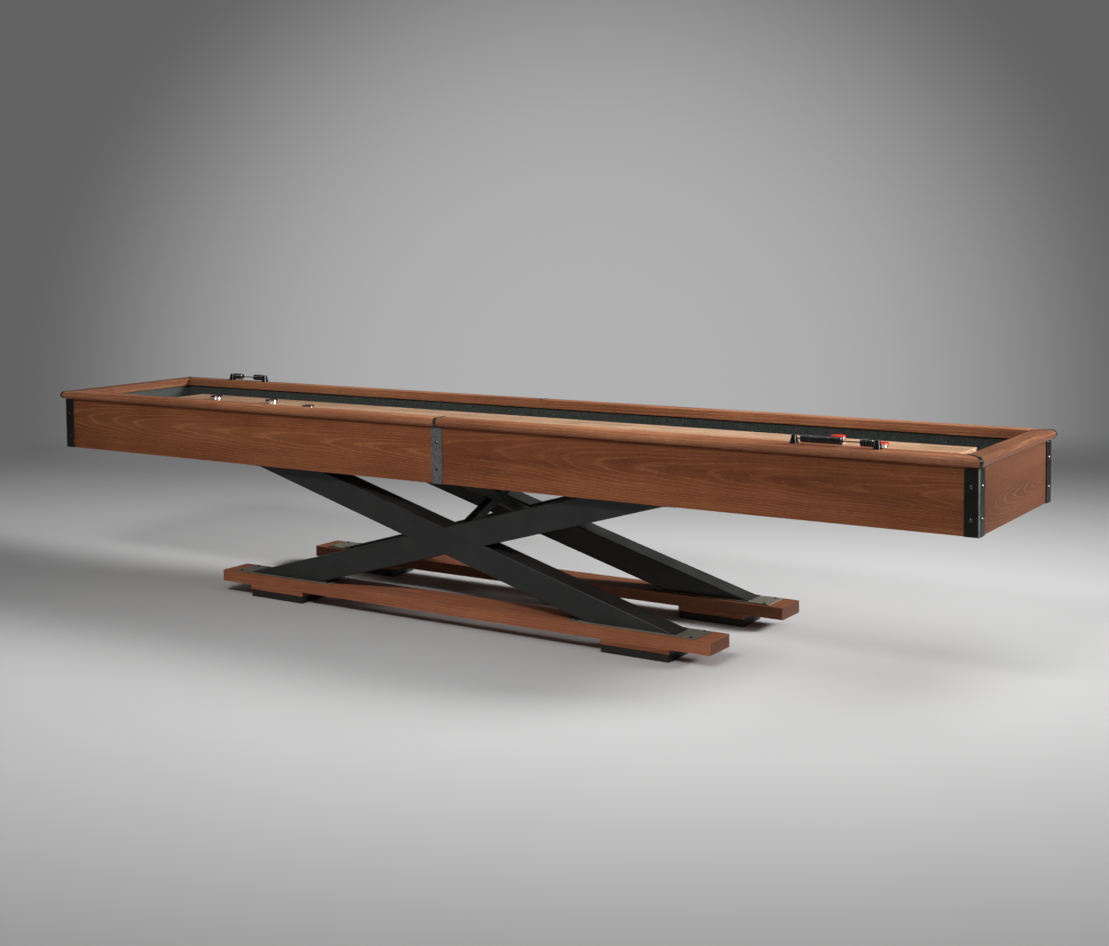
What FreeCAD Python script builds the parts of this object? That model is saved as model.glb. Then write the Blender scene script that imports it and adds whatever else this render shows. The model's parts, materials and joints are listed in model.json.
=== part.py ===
import FreeCAD, Part
import math
import os
import Sketcher

# Shuffleboard table: a long wooden cabinet with a maple board, on two X-shaped steel
# frames that stand on wooden skids.
#
# Frame of the part: +X along the table, +Y across it, +Z up.  The origin is on the floor
# under the middle of the table.  "Near" is the -Y side and "left" is the -X end.

doc = FreeCAD.newDocument("ShuffleboardTable")

# ---------------------------------------------------------------- driving dimensions, mm

SIZES = [
    ("cabinet_length", 4229),     # over the side panels, 14 ft less the rail overhang
    ("cabinet_width", 762),
    ("cabinet_bottom", 559),      # height of the cabinet's underside above the floor
    ("panel_height", 220),
    ("panel_thickness", 38),
    ("floor_underside", 600),     # underside of the cabinet's inner floor
    ("floor_thickness", 22),
    ("joist_width", 90),
    ("outer_joist_x", 1800),
    ("rail_width", 70),
    ("rail_thickness", 34),
    ("rail_overhang", 19),
    ("rail_edge_radius", 3),
    ("band_width", 13),           # black bands over the rail joints
    ("band_proud", 1),
    ("band_rise", 3),             # bands start this far above the rail's underside
    ("board_length", 3792),
    ("board_width", 508),
    ("board_thickness", 76),
    ("board_top", 751),
    ("bearer_width", 60),
    ("bearer_pitch", 850),
    ("carpet_thickness", 5),
    ("bracket_leg", 50.8),
    ("bracket_thickness", 5),
    ("bracket_radius", 6),
    ("bracket_height", 217),
    ("bolt_row_low", 55),         # bolt heights above the cabinet's underside
    ("bolt_row_high", 159),
    ("bolt_inset", 23),
    ("bolt_head_radius", 7),
    ("bolt_head_height", 3.6),
    ("bolt_shank_radius", 4),
    ("bolt_shank_length", 23),
    ("hole_clearance", 0.05),
    ("hole_spare", 1),            # blind holes run on past their bolts
    ("tool_spare", 1),            # cutting tools run on past the piece they cut
    ("tube_size", 101.6),         # 4 inch square tube
    ("tube_wall", 4),
    ("tube_radius", 5),
    ("leg_offset", 294),          # middle of each X-frame from the table's centre line
    ("leg_foot_x", 824),          # where a leg's centre line meets its foot plate
    ("crossing_height", 329),     # where the two legs of a frame cross
    ("foot_plate_thickness", 4),
    ("foot_plate_width", 124),
    ("outer_flange", 90),         # foot plate beyond the leg, towards the skid's end
    ("inner_flange", 60),
    ("top_plate_thickness", 6),
    ("top_flange", 45),
    ("plate_bolt_offset", 51),
    ("plate_bolt_inset", 23),
    ("top_bolt_offset", 40),
    ("skid_length", 2334),
    ("skid_width", 152.4),
    ("skid_thickness", 45),
    ("skid_underside", 48),
    ("skid_radius", 8),
    ("foot_length", 285),
    ("foot_inner_x", 718),
    ("foot_block_height", 18),
    ("foot_pad_inset", 2),
    ("brace_size", 38),
    ("brace_wall", 3),
    ("brace_low_height", 344),    # a brace bar's centre line at the face of a frame
    ("brace_top_y", 235),         # and where it meets the cabinet's underside
    ("brace_plate_length", 190),
    ("brace_plate_width", 110),
    ("brace_bolt_inset", 15),
    ("adjuster_x", 1275),
    ("adjuster_length", 430),
    ("adjuster_bar_width", 40),
    ("adjuster_bar_thickness", 12),
    ("adjuster_standoff", 20),
    ("adjuster_gap_length", 344),
    ("adjuster_bolt_radius", 6),
    ("adjuster_hole_radius", 7),
    ("adjuster_head_gap", 2),     # between a head and the cabinet's inner floor
    ("adjuster_tip_gap", 1),      # between a tip and the board
    ("adjuster_head_flats", 19),
    ("adjuster_head_height", 8),
    ("near_scorer_x", 1630),
    ("far_scorer_x", -1705),
    ("scorer_y", 368),
    ("near_scorer_span", 294),    # between the middles of a scorer's stands
    ("far_scorer_span", 212),
    ("stand_base", 25),
    ("stand_crown", 13),
    ("stand_height", 30),
    ("stand_edge_radius", 1.5),
    ("bead_stop", 12),            # nearest a bead comes to the middle of a stand
    ("rod_height", 18.3),         # rod above the rail
    ("rod_radius", 2.2),
    ("rod_clearance", 0.06),
    ("rod_socket_clearance", 0.02),
    ("rod_end_gap", 0.2),
    ("bead_radius", 13.5),
    ("bead_thickness", 9),
    ("bead_pitch", 9.3),
    ("bead_rim", 1.8),
    ("near_bead_slack", 12.5),
    ("puck_radius", 28.5),
    ("puck_foot_radius", 26.5),
    ("puck_waist_radius", 24.5),
    ("puck_foot_chamfer", 1),
    ("puck_foot_height", 2.5),
    ("puck_waist_low", 5),
    ("puck_waist_high", 8),
    ("puck_rim_low", 10.5),
    ("puck_rim_chamfer", 0.8),
    ("puck_weight_height", 12.5),
    ("puck_bore_radius", 10),
    ("puck_bore_depth", 5),
    ("cap_radius", 27.5),
    ("cap_height", 5),
    ("cap_round", 1.8),
    ("cap_spigot_clearance", 0.1),
    ("cap_spigot_gap", 0.5),
    ("puck_gap", 0.3),            # running clearance under each puck
]

sheet = doc.addObject("Spreadsheet::Sheet", "Dim")
for row, (alias, number) in enumerate(SIZES, start=1):
    sheet.set("A%d" % row, alias)
    sheet.set("B%d" % row, str(number))
    sheet.setAlias("B%d" % row, alias)
doc.recompute()

size = {alias: float(number) for alias, number in SIZES}

# Lengths that several pieces share, as expressions of the sheet.
HALF_LENGTH = "(Dim.cabinet_length / 2)"
HALF_WIDTH = "(Dim.cabinet_width / 2)"
INNER_HALF_LENGTH = "(Dim.cabinet_length / 2 - Dim.panel_thickness)"
INNER_HALF_WIDTH = "(Dim.cabinet_width / 2 - Dim.panel_thickness)"
PANEL_TOP = "(Dim.cabinet_bottom + Dim.panel_height)"
RAIL_HALF_LENGTH = "(Dim.cabinet_length / 2 + Dim.rail_overhang)"
RAIL_HALF_WIDTH = "(Dim.cabinet_width / 2 + Dim.rail_overhang)"
RAIL_TOP = "(Dim.cabinet_bottom + Dim.panel_height + Dim.rail_thickness)"
NOSE_RADIUS = "(Dim.rail_thickness / 2)"
FLOOR_TOP = "(Dim.floor_underside + Dim.floor_thickness)"
BOARD_UNDERSIDE = "(Dim.board_top - Dim.board_thickness)"
SKID_TOP = "(Dim.skid_underside + Dim.skid_thickness)"
LEG_LOW = "(Dim.skid_underside + Dim.skid_thickness + Dim.foot_plate_thickness)"
LEG_HIGH = "(Dim.cabinet_bottom - Dim.top_plate_thickness)"

LEG_ANGLE = math.degrees(math.atan2(
    size["crossing_height"] - size["skid_underside"] - size["skid_thickness"]
    - size["foot_plate_thickness"], size["leg_foot_x"]))
LEG_CUT_HALF = size["tube_size"] / 2 / math.sin(math.radians(LEG_ANGLE))
LEG_TOP_X = (size["cabinet_bottom"] - size["top_plate_thickness"]
             - size["crossing_height"]) / math.tan(math.radians(LEG_ANGLE))

X_AXIS = FreeCAD.Vector(1, 0, 0)
Y_AXIS = FreeCAD.Vector(0, 1, 0)
Z_AXIS = FreeCAD.Vector(0, 0, 1)
PARALLEL = 0.999      # cosine above which an edge counts as running along an axis
NEAR_BY = 1.0         # mm within which an edge counts as being at a spot
SIDES = (("near", -1), ("far", 1))
ENDS = (("left", -1), ("right", 1))

subparts = []


# ---------------------------------------------------------------- helpers

def bind(piece, **expressions):
    """Bind properties to the sheet; a double underscore in a name stands for a dot."""
    for name, text in expressions.items():
        piece.setExpression(name.replace("__", "."), str(text))


def place(piece, x="0", y="0", z="0"):
    """Bind a piece's position to the sheet."""
    bind(piece, Placement__Base__x=x, Placement__Base__y=y, Placement__Base__z=z)


def turn(piece, axis, angle):
    """Turn a piece about an axis through its own origin, in degrees."""
    piece.Placement = FreeCAD.Placement(piece.Placement.Base, FreeCAD.Rotation(axis, angle))


def keep(piece, label):
    """Name a finished sub-part and put it on the list of files to write."""
    piece.Label = label
    subparts.append(piece)
    return piece


def box(length, width, height, x="0", y="0", z="0"):
    """A block with its low corner at x, y, z."""
    block = doc.addObject("Part::Box", "Block")
    bind(block, Length=length, Width=width, Height=height)
    place(block, x, y, z)
    return block


def middle_box(length, width, height, x="0", y="0", z="0"):
    """A block centred on x and y, standing on z."""
    return box(length, width, height,
               "%s - (%s) / 2" % (x, length), "%s - (%s) / 2" % (y, width), z)


def rod(radius, length, axis, x="0", y="0", z="0"):
    """A round bar that starts at x, y, z and runs along an axis."""
    bar = doc.addObject("Part::Cylinder", "Bar")
    bind(bar, Radius=radius, Height=length)
    bar.Placement = FreeCAD.Placement(FreeCAD.Vector(), FreeCAD.Rotation(Z_AXIS, axis))
    place(bar, x, y, z)
    return bar


def group(pieces):
    """Separate solids that share one node."""
    whole = doc.addObject("Part::Compound", "Group")
    whole.Links = pieces
    return whole


def cut(base, tool):
    piece = doc.addObject("Part::Cut", "Cut")
    piece.Base = base
    piece.Tool = tool
    return piece


def common(base, tool):
    piece = doc.addObject("Part::Common", "Common")
    piece.Base = base
    piece.Tool = tool
    return piece


def fuse(base, tool):
    piece = doc.addObject("Part::Fuse", "Fuse")
    piece.Base = base
    piece.Tool = tool
    return piece


def mirror(source, normal):
    """A mirror image in the plane through the origin with that normal."""
    piece = doc.addObject("Part::Mirroring", "Mirror")
    piece.Source = source
    piece.Normal = normal
    return piece


def round_edges(base, radius, wanted):
    """Round the edges that the test picks."""
    doc.recompute()
    piece = doc.addObject("Part::Fillet", "Rounded")
    piece.Base = base
    numbers = [i for i, edge in enumerate(base.Shape.Edges, start=1) if wanted(edge)]
    piece.Edges = [(i, radius, radius) for i in numbers]
    return piece


def runs_along(edge, axis):
    """True for a straight edge along an axis."""
    if not isinstance(edge.Curve, Part.Line):
        return False
    return abs(edge.Curve.Direction.dot(axis)) > PARALLEL


def origin_plane(body, role):
    return [item for item in body.Origin.OriginFeatures if item.Role == role][0]


def new_sketch(body, role):
    sketch = body.newObject("Sketcher::SketchObject", "Outline")
    sketch.AttachmentSupport = [(origin_plane(body, role), "")]
    sketch.MapMode = "FlatFace"
    return sketch


def corner_outline(sketch, corners):
    """A closed outline of straight edges, each corner set by two expressions."""
    spots = [FreeCAD.Vector(float(sketch.evalExpression(x)), float(sketch.evalExpression(y)), 0)
             for x, y in corners]
    count = len(spots)
    for i in range(count):
        sketch.addGeometry(Part.LineSegment(spots[i], spots[(i + 1) % count]))
    for i in range(count):
        sketch.addConstraint(Sketcher.Constraint("Coincident", i, 2, (i + 1) % count, 1))
    for i, (x, y) in enumerate(corners):
        for kind, text, value in (("DistanceX", x, spots[i].x), ("DistanceY", y, spots[i].y)):
            number = sketch.addConstraint(Sketcher.Constraint(kind, -1, 1, i, 1, value))
            sketch.setExpression("Constraints[%d]" % number, text)


def holes(spots, radius, depth, axis):
    """Round bars that bore holes; spots are expressions for x, y, z."""
    return group([rod(radius, depth, axis, x, y, z) for x, y, z in spots])


def dome_bolt(direction, x, y, z):
    """A dome-headed bolt: direction points out of the face that the head sits on."""
    head_radius = size["bolt_head_radius"]
    head_height = size["bolt_head_height"]
    ball = (head_radius ** 2 + head_height ** 2) / (2 * head_height)
    head = doc.addObject("Part::Sphere", "BoltHead")
    head.Radius = ball
    head.Angle1 = math.degrees(math.asin((ball - head_height) / ball))
    head.Placement.Base = FreeCAD.Vector(0, 0, head_height - ball)
    shank = doc.addObject("Part::Cylinder", "BoltShank")
    bind(shank, Radius="Dim.bolt_shank_radius", Height="Dim.bolt_shank_length",
         Placement__Base__z="-Dim.bolt_shank_length")
    bolt = fuse(head, shank)
    bolt.Placement = FreeCAD.Placement(FreeCAD.Vector(), FreeCAD.Rotation(Z_AXIS, direction))
    place(bolt, x, y, z)
    return bolt


HOLE_RADIUS = "Dim.bolt_shank_radius + Dim.hole_clearance"
HOLE_DEPTH = "Dim.bolt_shank_length + Dim.hole_spare"


# ---------------------------------------------------------------- cabinet

BOLT_HEIGHTS = ("Dim.cabinet_bottom + Dim.bolt_row_low", "Dim.cabinet_bottom + Dim.bolt_row_high")
BOLT_X = "(Dim.cabinet_length / 2 - Dim.bolt_inset)"
BOLT_Y = "(Dim.cabinet_width / 2 - Dim.bolt_inset)"
FACE_Y = "(Dim.cabinet_width / 2 + Dim.bracket_thickness)"
FACE_X = "(Dim.cabinet_length / 2 + Dim.bracket_thickness)"


def side_bolt_spots(side):
    """Bolts through the long faces: one row at each corner and one at the middle strap."""
    return [(x, "%d * %s" % (side, FACE_Y), z)
            for x in ("-" + BOLT_X, "0", BOLT_X) for z in BOLT_HEIGHTS]


def end_bolt_spots(end):
    """Bolts through the end faces, one row at each corner."""
    return [("%d * %s" % (end, FACE_X), y, z)
            for y in ("-" + BOLT_Y, BOLT_Y) for z in BOLT_HEIGHTS]


def side_holes(side):
    return holes(side_bolt_spots(side), HOLE_RADIUS, HOLE_DEPTH, Y_AXIS * -side)


def end_holes(end):
    return holes(end_bolt_spots(end), HOLE_RADIUS, HOLE_DEPTH, X_AXIS * -end)


def make_panels():
    for side_name, side in SIDES:
        y = "%d * (%s - Dim.panel_thickness / 2)" % (side, HALF_WIDTH)
        for end_name, end in ENDS:
            x = "%d * %s / 2" % (end, HALF_LENGTH)
            board = middle_box(HALF_LENGTH, "Dim.panel_thickness", "Dim.panel_height",
                               x, y, "Dim.cabinet_bottom")
            drilled = cut(cut(board, side_holes(side)), end_holes(end))
            keep(drilled, "side_panel_%s_%s" % (side_name, end_name))
    for end_name, end in ENDS:
        x = "%d * (%s - Dim.panel_thickness / 2)" % (end, HALF_LENGTH)
        board = middle_box("Dim.panel_thickness", "2 * " + INNER_HALF_WIDTH, "Dim.panel_height",
                           x, "0", "Dim.cabinet_bottom")
        keep(board, "end_panel_%s" % end_name)


def adjuster_spots(z):
    return [("%d * Dim.adjuster_x" % end, "0", z) for _, end in ENDS]


def make_floor():
    """The cabinet's inner floor in two halves, on joists that also carry the legs."""
    halves = []
    for _, end in ENDS:
        halves.append(middle_box(INNER_HALF_LENGTH, "2 * " + INNER_HALF_WIDTH,
                                 "Dim.floor_thickness", "%d * %s / 2" % (end, INNER_HALF_LENGTH),
                                 "0", "Dim.floor_underside"))
    bores = holes(adjuster_spots("Dim.floor_underside - Dim.tool_spare"),
                  "Dim.adjuster_hole_radius", "Dim.floor_thickness + 2 * Dim.tool_spare", Z_AXIS)
    keep(cut(group(halves), bores), "cabinet_floor")

    reach = LEG_CUT_HALF + size["top_flange"] - size["plate_bolt_inset"]
    joist_x = [0.0, size["outer_joist_x"], -size["outer_joist_x"]]
    for _, end in ENDS:
        joist_x += [end * (LEG_TOP_X - reach), end * (LEG_TOP_X + reach)]
    joists = [middle_box("Dim.joist_width", "2 * " + INNER_HALF_WIDTH,
                         "Dim.floor_underside - Dim.cabinet_bottom", "%.3f" % x, "0",
                         "Dim.cabinet_bottom") for x in joist_x]
    bores = holes(top_bolt_spots() + brace_bolt_spots(), HOLE_RADIUS,
                  "Dim.top_plate_thickness + " + HOLE_DEPTH, Z_AXIS)
    keep(cut(group(joists), bores), "floor_joists")


def make_board():
    """The maple board, the bearers under it and the bars that bow it."""
    keep(middle_box("Dim.board_length", "Dim.board_width", "Dim.board_thickness",
                    "0", "0", BOARD_UNDERSIDE), "playfield_board")
    bearers = [middle_box("Dim.bearer_width", "Dim.board_width",
                          "%s - %s" % (BOARD_UNDERSIDE, FLOOR_TOP),
                          "%d * Dim.bearer_pitch" % step, "0", FLOOR_TOP)
               for step in (-2, -1, 0, 1, 2)]
    keep(group(bearers), "board_bearers")

    bars = []
    for _, end in ENDS:
        x = "%d * Dim.adjuster_x" % end
        height = "Dim.adjuster_bar_thickness + Dim.adjuster_standoff"
        low = "%s - Dim.adjuster_bar_thickness - Dim.adjuster_standoff" % BOARD_UNDERSIDE
        bar = middle_box("Dim.adjuster_bar_width", "Dim.adjuster_length", height, x, "0", low)
        gap = middle_box("Dim.adjuster_bar_width + 2 * Dim.tool_spare",
                         "Dim.adjuster_gap_length", "Dim.adjuster_standoff + Dim.tool_spare",
                         x, "0", "%s - Dim.adjuster_standoff" % BOARD_UNDERSIDE)
        bore = rod("Dim.adjuster_bolt_radius + Dim.hole_clearance", height, Z_AXIS, x, "0", low)
        bars.append(cut(cut(bar, gap), bore))
    keep(group(bars), "adjuster_bars")


def make_adjuster_bolts():
    """One hex-headed bolt per bar, turned from below to bow the board."""
    for end_name, end in ENDS:
        head = doc.addObject("Part::Prism", "HexHead")
        head.Polygon = 6
        bind(head, Circumradius="Dim.adjuster_head_flats / 2 / cos(30)",
             Height="Dim.adjuster_head_height")
        place(head, "0", "0", "-Dim.adjuster_head_height")
        seat = "(Dim.floor_underside - Dim.adjuster_head_gap)"
        length = "%s - Dim.adjuster_tip_gap - %s" % (BOARD_UNDERSIDE, seat)
        bolt = fuse(head, rod("Dim.adjuster_bolt_radius", length, Z_AXIS))
        place(bolt, "%d * Dim.adjuster_x" % end, "0", seat)
        keep(bolt, "adjuster_bolt_%s" % end_name)


def make_carpet():
    """Carpet on the gutter floor all round the board and up the four walls."""
    gutter = "(%s - Dim.carpet_thickness - Dim.board_width / 2)" % INNER_HALF_WIDTH
    end_gutter = "(%s - Dim.carpet_thickness - Dim.board_length / 2)" % INNER_HALF_LENGTH
    strips = []
    for _, side in SIDES:
        strips.append(middle_box("Dim.board_length", gutter, "Dim.carpet_thickness", "0",
                                 "%d * (Dim.board_width / 2 + %s / 2)" % (side, gutter),
                                 FLOOR_TOP))
    for _, end in ENDS:
        strips.append(middle_box(end_gutter, "2 * (%s - Dim.carpet_thickness)" % INNER_HALF_WIDTH,
                                 "Dim.carpet_thickness",
                                 "%d * (Dim.board_length / 2 + %s / 2)" % (end, end_gutter), "0",
                                 FLOOR_TOP))
    wall = "%s - %s" % (PANEL_TOP, FLOOR_TOP)
    for _, side in SIDES:
        strips.append(middle_box("2 * " + INNER_HALF_LENGTH, "Dim.carpet_thickness", wall, "0",
                                 "%d * (%s - Dim.carpet_thickness / 2)" % (side, INNER_HALF_WIDTH),
                                 FLOOR_TOP))
    for _, end in ENDS:
        strips.append(middle_box("Dim.carpet_thickness",
                                 "2 * (%s - Dim.carpet_thickness)" % INNER_HALF_WIDTH, wall,
                                 "%d * (%s - Dim.carpet_thickness / 2)" % (end, INNER_HALF_LENGTH),
                                 "0", FLOOR_TOP))
    keep(group(strips), "gutter_carpet")


# ---------------------------------------------------------------- top rails

def rail_profile(sketch):
    """A flat-topped rail with a half-round nose, drawn with its inner face on the axis."""
    width = size["rail_width"]
    thick = size["rail_thickness"]
    edge = size["rail_edge_radius"]
    nose_y = thick / 2 - width
    top = FreeCAD.Vector(-edge, thick, 0)
    sketch.addGeometry(Part.LineSegment(FreeCAD.Vector(0, 0, 0),
                                        FreeCAD.Vector(0, thick - edge, 0)))
    sketch.addGeometry(Part.ArcOfCircle(
        Part.Circle(FreeCAD.Vector(-edge, thick - edge, 0), Z_AXIS, edge), 0, math.pi / 2))
    sketch.addGeometry(Part.LineSegment(top, FreeCAD.Vector(nose_y, thick, 0)))
    sketch.addGeometry(Part.ArcOfCircle(
        Part.Circle(FreeCAD.Vector(nose_y, thick / 2, 0), Z_AXIS, thick / 2),
        math.pi / 2, 3 * math.pi / 2))
    sketch.addGeometry(Part.LineSegment(FreeCAD.Vector(nose_y, 0, 0), FreeCAD.Vector(0, 0, 0)))
    sketch.addConstraint([
        Sketcher.Constraint("Coincident", 0, 1, -1, 1),
        Sketcher.Constraint("Vertical", 0),
        Sketcher.Constraint("Tangent", 0, 2, 1, 1),
        Sketcher.Constraint("Tangent", 1, 2, 2, 1),
        Sketcher.Constraint("Horizontal", 2),
        Sketcher.Constraint("Tangent", 2, 2, 3, 1),
        Sketcher.Constraint("Tangent", 3, 2, 4, 1),
        Sketcher.Constraint("Horizontal", 4),
        Sketcher.Constraint("Coincident", 4, 2, 0, 1),
    ])
    for constraint, text in (
            (Sketcher.Constraint("Radius", 1, edge), "Dim.rail_edge_radius"),
            (Sketcher.Constraint("DistanceY", -1, 1, 2, 2, thick), "Dim.rail_thickness"),
            (Sketcher.Constraint("DistanceX", 2, 2, -1, 1, -nose_y),
             "Dim.rail_width - Dim.rail_thickness / 2")):
        number = sketch.addConstraint(constraint)
        sketch.setExpression("Constraints[%d]" % number, text)


def rail_stock(length):
    """A straight rail from the origin along +X, its nose towards -Y."""
    body = doc.addObject("PartDesign::Body", "Rail")
    sketch = new_sketch(body, "YZ_Plane")
    rail_profile(sketch)
    pad = body.newObject("PartDesign::Pad", "RailPad")
    pad.Profile = sketch
    pad.setExpression("Length", length)
    return body


def mitre_tool(inner_x, slope):
    """A block with one face through the rail's inner corner at 45 degrees.

    slope is +1 where the rail grows longer towards +X at its nose, and -1 towards -X.
    """
    reach = "4 * Dim.rail_width"
    holder = group([box(reach, reach, "2 * Dim.rail_thickness", "-2 * Dim.rail_width")])
    turn(holder, Z_AXIS, -45 * slope)
    place(holder, inner_x, "0", "-Dim.rail_thickness / 2")
    return holder


def make_rails():
    """Two rails along each side, meeting at the middle, and one across each end."""
    inner_half_width = "(%s - Dim.rail_width)" % RAIL_HALF_WIDTH
    for side_name, side in SIDES:
        for end_name, end in ENDS:
            stock = rail_stock(RAIL_HALF_LENGTH)
            mitre_at_start = side * end == 1
            if mitre_at_start:
                cut_rail = cut(stock, mitre_tool("Dim.rail_width", -1))
                start = RAIL_HALF_LENGTH
            else:
                cut_rail = cut(stock, mitre_tool("%s - Dim.rail_width" % RAIL_HALF_LENGTH, 1))
                start = "0"
            if side == 1:
                turn(cut_rail, Z_AXIS, 180)
                place(cut_rail, start, inner_half_width, PANEL_TOP)
            else:
                place(cut_rail, "-" + start, "-" + inner_half_width, PANEL_TOP)
            keep(cut_rail, "rail_%s_%s" % (side_name, end_name))
    for end_name, end in ENDS:
        stock = rail_stock("2 * " + RAIL_HALF_WIDTH)
        both = cut(cut(stock, mitre_tool("Dim.rail_width", -1)),
                   mitre_tool("2 * %s - Dim.rail_width" % RAIL_HALF_WIDTH, 1))
        turn(both, Z_AXIS, 90 * end)
        place(both, "%d * (%s - Dim.rail_width)" % (end, RAIL_HALF_LENGTH),
              "%d * %s" % (-end, RAIL_HALF_WIDTH), PANEL_TOP)
        keep(both, "rail_end_%s" % end_name)


def nose_block(proud, length, along_x):
    """The rail's section extended inwards, swelled by an expression of the sheet.

    It is centred on the corner's side: along X at the near rail or along Y at the right rail.
    """
    depth = "(4 * Dim.rail_width)"
    radius = "%s + %s" % (NOSE_RADIUS, proud)
    middle = "%s - %s" % (RAIL_TOP, NOSE_RADIUS)
    if along_x:
        nose_line = "(%s - %s)" % (RAIL_HALF_WIDTH, NOSE_RADIUS)
        start = "%s - %s / 2" % (RAIL_HALF_LENGTH, length)
        flat = box(length, depth, "2 * (%s)" % radius, start, "-" + nose_line,
                   "%s - (%s)" % (middle, radius))
        nose = rod(radius, length, X_AXIS, start, "-" + nose_line, middle)
    else:
        nose_line = "(%s - %s)" % (RAIL_HALF_LENGTH, NOSE_RADIUS)
        start = "-%s - %s / 2" % (RAIL_HALF_WIDTH, length)
        flat = box(depth, length, "2 * (%s)" % radius, "%s - %s" % (nose_line, depth), start,
                   "%s - (%s)" % (middle, radius))
        nose = rod(radius, length, Y_AXIS, nose_line, start, middle)
    return fuse(flat, nose)


def make_rail_bands():
    """Thin black bands that wrap the rail over each mitre and over each middle joint."""
    reach = "(6 * Dim.rail_width)"
    underside = "%s + Dim.band_rise" % PANEL_TOP
    height = "Dim.rail_thickness + Dim.band_proud - Dim.band_rise"
    slab = box("2 * Dim.rail_width", "Dim.band_width", height, "0", "-Dim.band_width / 2")
    holder = group([slab])
    turn(holder, Z_AXIS, -45)
    place(holder, "%s - Dim.rail_width" % RAIL_HALF_LENGTH,
          "-(%s - Dim.rail_width)" % RAIL_HALF_WIDTH, underside)
    outer = common(nose_block("Dim.band_proud", reach, True),
                   nose_block("Dim.band_proud", reach, False))
    inner = common(nose_block("0", reach, True), nose_block("0", reach, False))
    corner = cut(common(holder, outer), inner)
    across = mirror(corner, X_AXIS)
    bands = [corner, across, mirror(corner, Y_AXIS), mirror(across, Y_AXIS)]

    width = "Dim.band_width"
    inner_edge = "(%s - Dim.rail_width)" % RAIL_HALF_WIDTH
    section = common(
        box(width, "Dim.rail_width + Dim.band_proud", height, "-Dim.band_width / 2",
            "-%s - Dim.rail_width - Dim.band_proud" % inner_edge, underside),
        fuse(box(width, "4 * Dim.rail_width", "Dim.rail_thickness + 2 * Dim.band_proud",
                 "-Dim.band_width / 2", "-(%s - %s)" % (RAIL_HALF_WIDTH, NOSE_RADIUS),
                 "%s - Dim.band_proud" % PANEL_TOP),
             rod("%s + Dim.band_proud" % NOSE_RADIUS, width, X_AXIS, "-Dim.band_width / 2",
                 "-(%s - %s)" % (RAIL_HALF_WIDTH, NOSE_RADIUS),
                 "%s - %s" % (RAIL_TOP, NOSE_RADIUS))))
    rail_section = fuse(
        box("2 * Dim.band_width", "4 * Dim.rail_width", "Dim.rail_thickness",
            "-Dim.band_width", "-(%s - %s)" % (RAIL_HALF_WIDTH, NOSE_RADIUS), PANEL_TOP),
        rod(NOSE_RADIUS, "2 * Dim.band_width", X_AXIS, "-Dim.band_width",
            "-(%s - %s)" % (RAIL_HALF_WIDTH, NOSE_RADIUS), "%s - %s" % (RAIL_TOP, NOSE_RADIUS)))
    middle = cut(section, rail_section)
    bands += [middle, mirror(middle, Y_AXIS)]
    keep(group(bands), "rail_bands")


# ---------------------------------------------------------------- cabinet hardware

def make_brackets():
    """A steel angle on each corner of the cabinet and a flat strap over each middle joint."""
    thick = "Dim.bracket_thickness"
    reach = "(Dim.bracket_leg - Dim.bracket_thickness)"
    brackets = []
    for _, side in SIDES:
        for _, end in ENDS:
            body = doc.addObject("PartDesign::Body", "Bracket")
            sketch = new_sketch(body, "XY_Plane")
            outer_x = "%d * %s" % (end, thick)
            outer_y = "%d * %s" % (side, thick)
            inner_x = "%d * -%s" % (end, reach)
            inner_y = "%d * -%s" % (side, reach)
            corner_outline(sketch, [(outer_x, outer_y), (outer_x, inner_y), ("0", inner_y),
                                    ("0", "0"), (inner_x, "0"), (inner_x, outer_y)])
            pad = body.newObject("PartDesign::Pad", "BracketPad")
            pad.Profile = sketch
            pad.setExpression("Length", "Dim.bracket_height")
            place(body, "%d * %s" % (end, HALF_LENGTH), "%d * %s" % (side, HALF_WIDTH),
                  "Dim.cabinet_bottom")
            corner = FreeCAD.Vector(end * (size["cabinet_length"] / 2 + size["bracket_thickness"]),
                                    side * (size["cabinet_width"] / 2 + size["bracket_thickness"]),
                                    0)
            rounded = round_edges(
                body, size["bracket_radius"],
                lambda edge, corner=corner: runs_along(edge, Z_AXIS) and math.hypot(
                    edge.CenterOfMass.x - corner.x, edge.CenterOfMass.y - corner.y) < NEAR_BY)
            brackets.append(cut(cut(rounded, side_holes(side)), end_holes(end)))
    keep(group(brackets), "corner_brackets")

    straps = []
    for _, side in SIDES:
        strap = middle_box("Dim.bracket_leg", thick, "Dim.bracket_height", "0",
                           "%d * (%s + %s / 2)" % (side, HALF_WIDTH, thick), "Dim.cabinet_bottom")
        straps.append(cut(strap, side_holes(side)))
    keep(group(straps), "splice_straps")

    bolts = []
    for _, side in SIDES:
        bolts += [dome_bolt(Y_AXIS * side, *spot) for spot in side_bolt_spots(side)]
    for _, end in ENDS:
        bolts += [dome_bolt(X_AXIS * end, *spot) for spot in end_bolt_spots(end)]
    keep(group(bolts), "cabinet_bolts")


# ---------------------------------------------------------------- X-frames

# Lengths that leave every bar too long before its ends are cut.
LEG_STOCK = "(3 * Dim.leg_foot_x)"
BRACE_STOCK = "(4 * Dim.brace_top_y)"


def square_tube(outer, wall, corner, length):
    """A hollow square tube along X, centred on the origin."""
    solid = middle_box(length, outer, outer, "0", "0", "-(%s) / 2" % outer)
    rounded = round_edges(solid, corner, lambda edge: runs_along(edge, X_AXIS))
    bore = middle_box("%s + 2 * Dim.tool_spare" % length, "%s - 2 * %s" % (outer, wall),
                      "%s - 2 * %s" % (outer, wall), "0", "0", "-(%s - 2 * %s) / 2" % (outer, wall))
    return rounded, bore


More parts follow.
